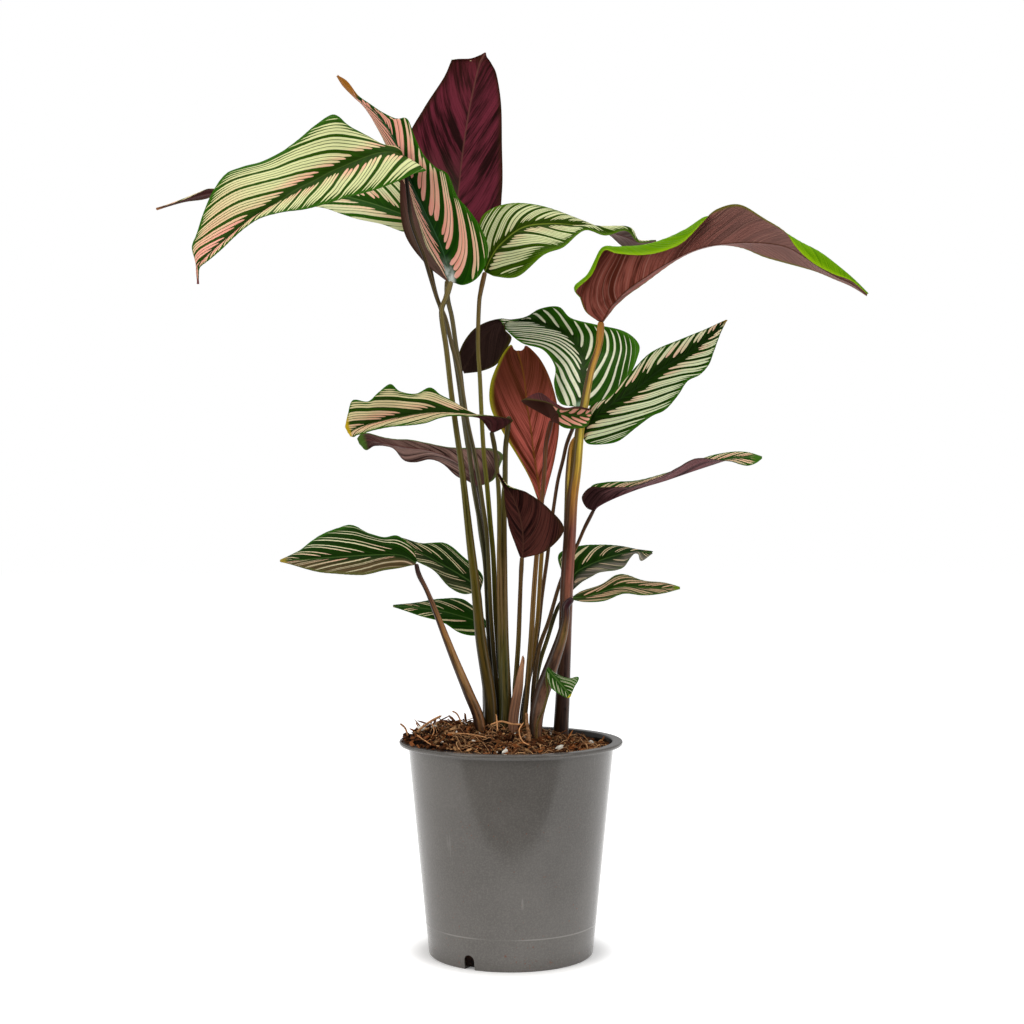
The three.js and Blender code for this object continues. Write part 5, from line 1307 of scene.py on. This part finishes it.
def make_sheath():
    """The dry sheath in the crown, from the compost up to its pointed mouth."""
    drawn = seen(SHEATH_PATH)
    corners = np.concatenate([drawn, drawn[-1:] - [[0, 0, STALK_DEPTH]]])[::-1]
    path = smooth(corners, np.linspace(0, 1, SHEATH_STEPS))
    stops = np.linspace(0, 1, len(SHEATH_RADII))
    radii = np.interp(np.linspace(1, 0, SHEATH_STEPS), stops, SHEATH_RADII)
    sides = SHEATH_SIDES
    shell = wrapped(path, radii, sides)
    faces = tube_faces(len(shell), sides)[:-2]
    last = (len(shell) - 1) * sides
    faces += [(a, (a + 1) % sides, last + (a + 1) % sides, last + a) for a in range(sides)]
    rise = np.linspace(0, 1, SHEATH_STEPS)
    up = np.repeat(np.concatenate([rise, rise[::-1]]), sides)
    turn = np.tile(np.linspace(0, 1, sides, endpoint=False), len(shell))
    points = shell.reshape(-1, 3)
    sheath = new_piece("dry_husk", points, faces, up=up, ring=np.abs(2 * turn - 1))
    f = Finish("dry_husk_paper", Roughness=0.75)
    streak = f.noise(f.join(f.times(f.attribute("ring"), 22.0), f.attribute("up")), 1.0, 4.0)
    color = f.mix(f.step(streak, 0.3, 0.7), (70, 40, 26), (150, 104, 72))
    f.color(f.mix(f.step(f.attribute("up"), 0.3, 0.9), color, (168, 122, 88)))
    f.bump(streak, 0.6, 0.0006)
    sheath.data.materials.append(f.material)
    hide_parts("dry_sheath")


make_sheath()
print("sheath made")

# %% [markdown]
# ## The pot
#
# A nursery pot is thin grey plastic, drawn or blown in a mould: a smooth taper, a turned-out lip and
# notches at its foot for the water. Turning a profile round the axis gives all but the notches and
# the drain holes, so the pot is a grid of profile points against angle, finer than the solid one,
# and those openings are cut out of it afterwards.

# %% Turn the profile
POT_SIDES = 180
BASE_RADIUS = 62.5
UNDER_LIP = 156.8
BODY_TOP_RADIUS = 78.2
WALL = 1.6
POT_FLOOR = 2.4
RIM_HEIGHT = 161.0
MOULD_LINE = 24.0
NOTCH = dict(width=8.4, height=11.0)
NOTCH_HEADINGS = (-119, 61)
DRAIN_RADIUS = 4
DRAIN_CIRCLE = 34


def inner_radius(height):
    """Radius of the wall's inside: the body's straight taper less the wall."""
    return BASE_RADIUS + (BODY_TOP_RADIUS - BASE_RADIUS) / UNDER_LIP * height - WALL


def closed_shell(rings, low_pole, high_pole):
    """Points and faces of stacked rings, shape (rows, sides, 3), closed by a fan at each end."""
    rows, sides = rings.shape[:2]
    index = np.arange(rows * sides).reshape(rows, sides)
    after = np.roll(index, -1, axis=1)
    quads = np.stack([index[:-1], after[:-1], after[1:], index[1:]], axis=-1).reshape(-1, 4)
    low, high = rows * sides, rows * sides + 1
    fans = [(low, int(b), int(a)) for a, b in zip(index[0], after[0])]
    fans += [(high, int(a), int(b)) for a, b in zip(index[-1], after[-1])]
    poles = np.array([[0, 0, low_pole], [0, 0, high_pole]])
    return np.concatenate([rings.reshape(-1, 3), poles]), [tuple(q) for q in quads.tolist()] + fans


def turned(profile, sides):
    """Points and faces of a closed profile of (radius, height) turned round the vertical axis.

    Point (i, j) is (r_i cos a_j, r_i sin a_j, z_i); the profile's two ends are on the axis.
    """
    profile = np.asarray(profile, float)
    turn = np.linspace(0, 2 * np.pi, sides, endpoint=False)
    radius, height = profile[1:-1].T
    ring = np.stack([np.outer(radius, np.cos(turn)), np.outer(radius, np.sin(turn)),
                     np.repeat(height[:, None], sides, axis=1)], axis=-1)
    return closed_shell(ring, profile[0][1], profile[-1][1])


def rounded_corners(corners, radius, steps=4):
    """Each inner corner of a polyline replaced by a small quadratic arc, radius back along its legs."""
    corners = np.asarray(corners, float)
    line = [corners[0]]
    for before, at, after in zip(corners[:-2], corners[1:-1], corners[2:]):
        back = before - at
        on = after - at
        back_length, on_length = np.linalg.norm(back), np.linalg.norm(on)
        cut = min(radius, 0.45 * back_length, 0.45 * on_length)
        start = at + back / back_length * cut
        stop = at + on / on_length * cut
        for w in np.linspace(0, 1, steps):
            line.append((1 - w) ** 2 * start + 2 * w * (1 - w) * at + w ** 2 * stop)
    line.append(corners[-1])
    return np.array(line)


def pot_profile():
    """The wall's outline from the floor's middle, out, up, over the lip and back inside."""
    outside = [(0, 0), (61.7, 0), (BASE_RADIUS, 0.8)]
    slope = (BODY_TOP_RADIUS - BASE_RADIUS) / UNDER_LIP
    ridge = [(-1.1, 0), (-0.5, 0.07), (0.0, 0.1), (0.5, 0.07), (1.1, 0)]
    for step, rise in ridge:
        height = MOULD_LINE + step
        outside.append((BASE_RADIUS + slope * height + rise, height))
    top = [(78, 156.4), (79, 157.8), (84.6, 158.2), (85, 158.8), (85, 160.4), (84.2, RIM_HEIGHT)]
    inside = [(inner_radius(RIM_HEIGHT), RIM_HEIGHT), (inner_radius(POT_FLOOR), POT_FLOOR), (0, POT_FLOOR)]
    return rounded_corners(outside + top + inside, 1.0)


def prism(outline, low, high):
    """A closed block over a flat outline of (x, y) points, from low to high."""
    outline = np.asarray(outline, float)
    n = len(outline)
    points = np.concatenate([np.column_stack([outline, np.full(n, level)]) for level in (low, high)])
    sides = [(k, (k + 1) % n, n + (k + 1) % n, n + k) for k in range(n)]
    return points, sides + [tuple(range(n))[::-1], tuple(range(n, 2 * n))]


def notch_block(width, height, steps=10):
    """An inverted U standing on the floor, as long as the wall is deep, to be cut out of it."""
    turn = np.linspace(0, np.pi, steps)
    arch = np.column_stack([width / 2 * np.cos(turn), height - width / 2 + width / 2 * np.sin(turn)])
    outline = np.concatenate([[[width / 2, -1]], arch, [[-width / 2, -1]]])
    points, faces = prism(outline, 54, 70)
    return points[:, [2, 0, 1]], faces


def drain_block(steps=24):
    """A round plug through the pot's floor, off the axis by the drain circle's radius."""
    turn = np.linspace(0, 2 * np.pi, steps, endpoint=False)
    outline = np.column_stack([DRAIN_CIRCLE + DRAIN_RADIUS * np.cos(turn), DRAIN_RADIUS * np.sin(turn)])
    return prism(outline, -1, 4)


def cut(target, blocks):
    """Takes blocks, lists of millimetre points and faces, out of a mesh for good."""
    cutters = bpy.data.meshes.new("cutters")
    points, faces = joined(blocks)
    cutters.from_pydata((points * MM).tolist(), [], faces)
    holder = bpy.data.objects.new("cutters", cutters)
    scene.collection.objects.link(holder)
    boolean = target.modifiers.new("cut", "BOOLEAN")
    boolean.operation = "DIFFERENCE"
    boolean.solver = "EXACT"
    boolean.object = holder
    result = bpy.data.meshes.new_from_object(target.evaluated_get(bpy.context.evaluated_depsgraph_get()))
    target.modifiers.clear()
    old = target.data
    target.data = result
    bpy.data.meshes.remove(old)
    bpy.data.objects.remove(holder)
    bpy.data.meshes.remove(cutters)


def turned_by(block, degrees):
    """The block turned about the vertical axis."""
    points, faces = block
    angle = math.radians(degrees)
    x, y, z = points.T
    across = x * math.cos(angle) - y * math.sin(angle)
    back = x * math.sin(angle) + y * math.cos(angle)
    return np.column_stack([across, back, z]), faces


pot_points, pot_faces = turned(pot_profile(), POT_SIDES)
pot = new_piece("nursery_pot", pot_points, pot_faces)
openings = [turned_by(notch_block(**NOTCH), degrees) for degrees in NOTCH_HEADINGS]
openings += [turned_by(drain_block(), 45 + 90 * k) for k in range(4)]
bpy.context.view_layer.update()
cut(pot, openings)
pot.data.shade_smooth()
pot.data.set_sharp_from_angle(angle=math.radians(32))
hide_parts("pot")
print("pot faces:", len(pot.data.polygons))

# %% [markdown]
# The plastic is a satin grey: smooth, a little uneven, with fine scuffs that catch the light and
# specks of dried soil that cling near the foot. A clean single grey would read as paint.

# %% Pot finish
def plastic_finish():
    """Grey plastic with scuffs, a mottle, a mould line, specks of soil and a dark brown inside."""
    f = Finish("grey_plastic", Specular_IOR_Level=0.33)
    spot = f.place()
    axes = f.node("ShaderNodeSeparateXYZ", spot).outputs
    height = axes["Z"]
    cloud = f.noise(spot, 14.0, 5.0, 0.6)
    grey = f.mix(f.step(cloud, 0.3, 0.7), (83, 80, 77), (92, 89, 86))

    # Scuffs: noise drawn out along one direction, in patches.
    stretched = f.node("ShaderNodeMapping")
    f.feed(stretched.inputs["Vector"], spot)
    stretched.inputs["Rotation"].default_value = (0.3, 0.5, 0.4)
    stretched.inputs["Scale"].default_value = (260, 260, 9)
    scuffs = f.noise(stretched.outputs[0], 1.0, 2.0, 0.5)
    patches = f.noise(spot, 30.0, 2.0)
    scuffed = f.times(f.step(scuffs, 0.66, 0.74), f.step(patches, 0.5, 0.66))
    grey = f.mix(f.times(scuffed, 0.3), grey, (140, 138, 134))

    # Mottle of the plastic, and the pale line where the mould closed.
    grain = f.noise(spot, 800.0, 3.0, 0.7)
    grey = f.mix(f.step(grain, 0.4, 0.68, 0.0, 0.36), grey, (112, 109, 104))
    from_line = f.math("ABSOLUTE", f.minus(height, MOULD_LINE * MM))
    line = f.step(from_line, 0.0007, 0.0002)
    worn = f.step(f.noise(spot, 24.0, 2.0), 0.4, 0.62, 0.05, 0.4)
    grey = f.mix(f.times(line, worn), grey, (150, 147, 142))

    # Specks of soil, more of them low down.
    specks = f.noise(spot, 620.0, 1.0)
    clusters = f.noise(spot, 38.0, 2.0)
    low_down = f.step(height, 0.02, 0.0, 0.0, 0.1)
    speckled = f.step(f.plus(specks, low_down), 0.71, 0.76)
    dirt = f.times(speckled, f.step(clusters, 0.48, 0.6))
    grey = f.mix(dirt, grey, (92, 52, 34))

    # Inside, where the radius is less than the wall's, the plastic turns dark brown, in clouds.
    across, back = (f.math("POWER", axes[axis], 2.0) for axis in "XY")
    radius = f.math("SQRT", f.plus(across, back))
    slope = (BODY_TOP_RADIUS - BASE_RADIUS) / UNDER_LIP
    wall_middle = f.scaled(height, slope, (BASE_RADIUS - WALL / 2) * MM)
    inside = f.math("LESS_THAN", radius, wall_middle)
    dark_inside = f.step(f.noise(spot, 90.0, 3.0), 0.3, 0.6, 0.7, 1.0)
    f.color(f.mix(f.times(inside, dark_inside), grey, (36, 30, 20)))
    f.roughness(f.scaled(dirt, 0.4, f.step(cloud, 0.3, 0.7, 0.11, 0.16)))
    f.bump(f.plus(cloud, f.times(dirt, 2.0)), 0.12, 0.0006)
    return f.material


pot.data.materials.append(plastic_finish())

# %% [markdown]
# ## The compost
#
# Potting compost is a heap of bark crumbs, coir fibres and white perlite, highest round the crown
# and sunk at the wall. The heap itself is a polar grid lifted by lumps of noise. The crumbs, fibres
# and grains that lie on it are small closed meshes of a few faces each, joined to one piece per
# kind, because a texture alone would leave the edge of the heap smooth.

# %% The heap
COMPOST_LEVEL = 156.0
COMPOST_GAP = 0.35
HEAP_EDGE = 150.0
# Bell-shaped heaps: height, centre x and y, and spread in x and y, all in millimetres.
HEAPS = ((15, -6, 6, 50, 40), (9.5, -54, -6, 22, 34))
# Lumps: height, size and seed of each layer.
LUMPS = ((2.2, 9, 5), (1.4, 4, 6), (0.7, 1.9, 7))
SLOPE_HEIGHT = 3
SLOPE_HEADING = math.radians(40)


def lattice_noise(x, y, cell, seed):
    """Smooth random heights from -1 to 1: values on a square lattice, eased between its corners."""
    values = np.random.default_rng(seed).uniform(-1, 1, (64, 64))
    u, v = x / cell + 31.0, y / cell + 31.0
    i, j = np.floor(u).astype(int), np.floor(v).astype(int)
    fu, fv = u - i, v - j
    fu, fv = fu * fu * (3 - 2 * fu), fv * fv * (3 - 2 * fv)
    near = values[i % 64, j % 64] * (1 - fu) + values[(i + 1) % 64, j % 64] * fu
    far = values[i % 64, (j + 1) % 64] * (1 - fu) + values[(i + 1) % 64, (j + 1) % 64] * fu
    return near * (1 - fv) + far * fv


def heap_height(x, y):
    """Height of the compost at (x, y): a slope, two bell-shaped heaps and three sizes of lumps."""
    slope = -SLOPE_HEIGHT * (x * math.cos(SLOPE_HEADING) + y * math.sin(SLOPE_HEADING)) / BASE_RADIUS
    height = COMPOST_LEVEL + slope
    for rise, across, back, wide, deep in HEAPS:
        height = height + rise * np.exp(-((x - across) / wide) ** 2 - ((y - back) / deep) ** 2)
    for rise, cell, seed in LUMPS:
        height = height + rise * lattice_noise(x, y, cell, seed)
    return height


def make_heap():
    """Rings from the middle of the top to the wall, down the wall and across the bottom."""
    sides, rings, wall_rings = 220, 60, 24
    turn = np.linspace(0, 2 * np.pi, sides, endpoint=False)
    limit = inner_radius(COMPOST_LEVEL) - COMPOST_GAP
    radius = limit * np.linspace(0, 1, rings + 1)[1:, None]
    x, y = radius * np.cos(turn), radius * np.sin(turn)
    z = heap_height(x, y)
    z[-1] = np.minimum(z[-1], RIM_HEIGHT - 1.5)
    levels = np.linspace(HEAP_EDGE, POT_FLOOR + COMPOST_GAP, wall_rings)[:, None]
    reach = inner_radius(levels) - COMPOST_GAP
    wall = np.stack([reach * np.cos(turn), reach * np.sin(turn), np.repeat(levels, sides, axis=1)], axis=-1)
    shell = np.concatenate([np.stack([x, y, z], axis=-1), wall])[::-1]
    top = float(heap_height(np.zeros(1), np.zeros(1))[0])
    return closed_shell(shell, levels[-1, 0], top)


heap_points, heap_faces = make_heap()
heap = new_piece("compost_heap", heap_points, heap_faces)
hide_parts("compost")
soil = Finish("compost_soil", Roughness=0.9, Specular_IOR_Level=0.1)
spot = soil.place()
coarse, fine = soil.noise(spot, 130.0, 6.0, 0.7), soil.noise(spot, 900.0, 4.0, 0.7)
# The heap is near black, darkest in spots: partly the damp compost's own colour and partly painted shade,
# standing for the gaps between the crumbs that lie on it.
brown = soil.mix(soil.step(coarse, 0.35, 0.65), (4, 1, 1), (32, 15, 7))
brown = soil.mix(soil.step(fine, 0.58, 0.72), brown, (110, 68, 36))
soil.color(soil.mix(soil.step(fine, 0.44, 0.3, 0.0, 0.8), brown, (8, 4, 2)))
soil.bump(soil.plus(coarse, fine), 1.0, 0.002)
heap.data.materials.append(soil.material)
print("heap faces:", len(heap_faces))

# %% [markdown]
# ## Crumbs
#
# Each crumb is a rough lump of twenty faces. The same lump is stretched, turned and dropped at
# random thousands of times, which still makes a light mesh, and each copy has its own shade.

# %% Scatter crumbs
def scatter(count, rng, spread=1.0, hollow=0.0, arc=(0, 360)):
    """Random places as x, y and height, between the shares hollow and spread of the wall's radius."""
    turn = np.radians(rng.uniform(*arc, count))
    radius = (inner_radius(COMPOST_LEVEL) - 3) * np.sqrt(rng.uniform(hollow ** 2, spread ** 2, count))
    x, y = radius * np.cos(turn), radius * np.sin(turn)
    on_rim = radius > inner_radius(RIM_HEIGHT)
    return x, y, np.where(on_rim, RIM_HEIGHT + 0.2, heap_height(x, y))


def random_turns(count, rng, tilt=math.pi):
    """Rotation matrices, shape (count, 3, 3): about the vertical, then about x and y by up to tilt."""
    a = rng.uniform(0, 2 * np.pi, count)
    b, c = rng.uniform(-tilt, tilt, (2, count))
    zero, one = np.zeros(count), np.ones(count)
    z = np.stack([np.cos(a), -np.sin(a), zero, np.sin(a), np.cos(a), zero, zero, zero, one], -1)
    x = np.stack([one, zero, zero, zero, np.cos(b), -np.sin(b), zero, np.sin(b), np.cos(b)], -1)
    y = np.stack([np.cos(c), zero, np.sin(c), zero, one, zero, -np.sin(c), zero, np.cos(c)], -1)
    z, x, y = (m.reshape(count, 3, 3) for m in (z, x, y))
    return z @ x @ y


def copies(shape, faces, sizes, turns, places):
    """One mesh of many copies of a small shape, each stretched, turned and placed."""
    count = len(places)
    points = np.einsum("cij,cpj->cpi", turns, shape * sizes[:, None]) + places[:, None]
    index = np.arange(count) * points.shape[1]
    return points.reshape(-1, 3), [tuple(int(k + o) for k in face) for o in index for face in faces]


def crumb():
    """A rough lump: three five-sided rings, each turned against the last, and a point at each end."""
    turn = np.linspace(0, 2 * np.pi, 5, endpoint=False)
    rings = [np.column_stack([r * np.cos(turn + s), r * np.sin(turn + s), np.full(5, z)])
             for r, z, s in ((0.75, -0.35, 0), (1.0, 0.05, 0.5), (0.6, 0.42, 0.9))]
    points = np.concatenate(rings + [np.array([[0, 0, -0.5], [0, 0, 0.55]])])
    faces = []
    for low in (0, 5):
        faces += [(low + k, low + (k + 1) % 5, low + 5 + (k + 1) % 5, low + 5 + k) for k in range(5)]
    faces += [(15, (k + 1) % 5, k) for k in range(5)]
    faces += [(16, 10 + k, 10 + (k + 1) % 5) for k in range(5)]
    return points, faces


def grain_finish(name, dark, light):
    """Each grain takes its own shade between two colours, with a finer mottle on top."""
    f = Finish(name, Roughness=0.85, Specular_IOR_Level=0.12)
    shade = f.attribute("shade")
    mottle = f.noise(f.place(), 500.0, 4.0, 0.65)
    blend = f.plus(f.times(shade, 0.7), f.times(f.step(mottle, 0.3, 0.7), 0.3))
    f.color(f.mix(blend, dark, light))
    f.bump(mottle, 0.8, 0.0008)
    return f.material


def make_grains(name, count, size, flat, colors, seed, sink=0.25, wide=(0.45, 0.9), tilt=0.7, **where):
    """Many crumbs as one piece: size is their usual length, wide and flat its shares, both ranges.

    A crumb lies half its thickness over the heap, less the sunk share of it.
    """
    rng = np.random.default_rng(seed)
    x, y, z = scatter(count, rng, **where)
    length = rng.lognormal(math.log(size), 0.45, count)
    sizes = np.column_stack([length, length * rng.uniform(*wide, count), length * rng.uniform(*flat, count)])
    places = np.column_stack([x, y, z + (0.5 - sink) * sizes[:, 2]])
    shape, faces = crumb()
    points, all_faces = copies(shape, faces, sizes / 2, random_turns(count, rng, tilt), places)
    shade = np.repeat(rng.uniform(0, 1, count) ** 3, len(shape))
    piece = new_piece(name, points, all_faces, shade=shade)
    piece.data.set_sharp_from_angle(angle=math.radians(20))
    piece.data.materials.append(grain_finish(f"{name}_skin", *colors))
    return len(all_faces)


made = make_grains("bark_crumbs", 1500, 3.8, (0.2, 0.6), ((5, 2, 1), (160, 92, 46)), 11)
made += make_grains("small_crumbs", 3400, 1.8, (0.4, 0.9), ((4, 2, 1), (240, 182, 124)), 12)
made += make_grains("rim_crumbs", 150, 2.8, (0.3, 0.8), ((7, 3, 2), (160, 96, 54)), 14, 0.1, spread=1.13,
                    hollow=0.95, arc=(155, 232))
made += make_grains("bark_slivers", 170, 8.0, (0.08, 0.14), ((16, 8, 4), (196, 122, 66)), 15, -2.0,
                    wide=(0.08, 0.16), tilt=0.9, spread=0.97)
made += make_grains("perlite", 58, 2.6, (0.7, 1.0), ((206, 200, 186), (240, 236, 226)), 13, 0.1, spread=0.95)
print("grain faces:", made)

# %% [markdown]
# ## Fibres
#
# Coir is the husk fibre of coconuts. Its hairs lie on the heap in loose curls and hold the crumbs
# together. Hair curves would be lost in other programs, so each fibre is a thin four-sided tube.

# %% Fibres
FIBRE_SIDES = 4
FIBRE_STEPS = 9
FIBRE_LIFT = 4.5


def wandering(count, length, rng):
    """Paths that curl over the heap and rise from it here and there, shape (count, along, 3).

    heading(s) = start + bend s + curl sin(4 s + phase), and the path is its running sum.
    """
    x, y = scatter(count, rng, 0.96)[:2]
    s = np.linspace(0, 1, FIBRE_STEPS)[None, :]
    start, phase = rng.uniform(0, 2 * np.pi, (2, count, 1))
    bend = rng.normal(0, 0.9, (count, 1))
    curl = rng.uniform(0, 0.9, (count, 1))
    heading = start + bend * s + curl * np.sin(4 * s + phase)
    step = rng.lognormal(math.log(length), 0.4, (count, 1)) / FIBRE_STEPS
    px = x[:, None] + np.cumsum(np.cos(heading) * step, axis=1)
    py = y[:, None] + np.cumsum(np.sin(heading) * step, axis=1)
    limit = inner_radius(COMPOST_LEVEL) - 2.0
    pull = np.minimum(1, limit / np.maximum(np.hypot(px, py), 1e-6))
    px, py = px * pull, py * pull
    arch = rng.uniform(0, 1, (count, 1)) ** 2 * FIBRE_LIFT * np.sin(np.pi * s)
    arch = arch + rng.normal(0, 0.6, (count, 1)) * s
    pz = heap_height(px, py) + 0.3 + arch
    return np.stack([px, py, pz], axis=-1)


def hair_rings(path, reach):
    """The corners of each tube, shape (count, along, around, 3): reach from the path, level first."""
    forward = np.gradient(path, axis=1)
    forward /= np.linalg.norm(forward, axis=-1, keepdims=True)
    first = np.cross(forward, [0.0, 0.0, 1.0])
    first /= np.maximum(np.linalg.norm(first, axis=-1, keepdims=True), 1e-6)
    second = np.cross(forward, first)
    turn = np.linspace(0, 2 * np.pi, FIBRE_SIDES, endpoint=False)
    around = np.cos(turn)[:, None] * first[:, :, None] + np.sin(turn)[:, None] * second[:, :, None]
    return path[:, :, None] + reach[..., None, None] * around


def hair_faces():
    """The faces of one tube: four for each step along it, and a cap at each end."""
    last = (FIBRE_STEPS - 1) * FIBRE_SIDES
    quads = []
    for low in range(0, last, FIBRE_SIDES):
        high = low + FIBRE_SIDES
        for j in range(FIBRE_SIDES):
            after = (j + 1) % FIBRE_SIDES
            quads.append((low + j, high + j, high + after, low + after))
    return quads + [tuple(range(FIBRE_SIDES)), tuple(range(last, last + FIBRE_SIDES))[::-1]]


def make_fibres(name, count, length, radius, colors, seed):
    """Bent hairs of coir: each a four-sided tube that gets thin towards both ends."""
    rng = np.random.default_rng(seed)
    path = wandering(count, length, rng)
    taper = np.sin(np.pi * (0.06 + 0.88 * np.linspace(0, 1, FIBRE_STEPS))) ** 0.4
    ring = hair_rings(path, radius * rng.uniform(0.6, 1.5, (count, 1)) * taper)
    tube, size = hair_faces(), FIBRE_STEPS * FIBRE_SIDES
    faces = [tuple(k + n * size for k in face) for n in range(count) for face in tube]
    shade = np.repeat(rng.uniform(0, 1, count) ** 1.8, size)
    piece = new_piece(name, ring.reshape(-1, 3), faces, shade=shade)
    piece.data.materials.append(grain_finish(f"{name}_skin", *colors))
    return len(faces)


made = make_fibres("coir_fibres", 460, 18, 0.26, ((78, 38, 16), (240, 186, 132)), 21)
made += make_fibres("dark_fibres", 260, 12, 0.32, ((26, 14, 8), (90, 54, 32)), 22)
print("fibre faces:", made)

# %% [markdown]
# ## Roots and sticks
#
# A few roots, sticks and slivers stand out of the heap, large enough to be drawn one by one. Each is
# the same rod as a stalk, only thinner.

# %% Roots and sticks
STICK_STEPS = 18
STICK_SIDES = 7
# Radius in millimetres, shade from 0 to 1, and the points of each as they are drawn on the sheet.
STICKS = [
    (0.42, 0.8, [(524, 722, -40), (519.5, 729, -46), (520, 736, -52), (523.5, 742, -57), (530, 745.5, -61)]),
    (1.3, 0.12, [(526.5, 712, -30), (527, 724, -40), (529, 734, -47), (529.5, 742, -54)]),
    (0.9, 0.45, [(442, 715.5, -14), (432, 720.5, -16), (424, 726, -18), (417, 732, -24)]),
    (0.6, 0.4, [(452, 711, -4), (457, 714, -6), (461, 722, -8), (464, 730, -16)]),
    (0.7, 0.3, [(400, 723.5, -6), (405, 728, -8), (408, 736, -14)]),
    (0.5, 0.3, [(416, 722.5, -2), (419, 728, -6), (424, 735, -14)]),
    (0.4, 0.7, [(447, 733, -38), (462, 733.5, -40), (475, 735, -42), (488, 738, -46)]),
    (0.7, 0.65, [(490, 725, -26), (501, 721.5, -26), (512, 724, -28), (522, 724.5, -30)]),
    (0.5, 0.75, [(496, 714, -24), (497, 722, -26), (497.5, 731, -34)]),
    (0.4, 0.6, [(432, 723, -22), (434, 731, -28), (431, 738, -34)]),
    (0.4, 0.8, [(417, 735, -30), (424, 740, -36), (434, 746.5, -46)]),
]


def make_sticks():
    """Thin rods along the drawn lines, joined to one piece, each with its own shade."""
    rods = []
    for radius, shade, drawn in STICKS:
        path = smooth(seen(drawn), np.linspace(0, 1, STICK_STEPS))
        ring = carried_ring(path, np.full(STICK_STEPS, radius), STICK_SIDES, 0)
        rods.append((ring.reshape(-1, 3), tube_faces(STICK_STEPS, STICK_SIDES)))
    points, faces = joined(rods)
    shades = np.repeat([shade for radius, shade, drawn in STICKS], STICK_STEPS * STICK_SIDES)
    piece = new_piece("roots_and_sticks", points, faces, shade=shades)
    piece.data.materials.append(grain_finish("root_skin", (40, 20, 12), (240, 176, 120)))
    return len(faces)


print("stick faces:", make_sticks())
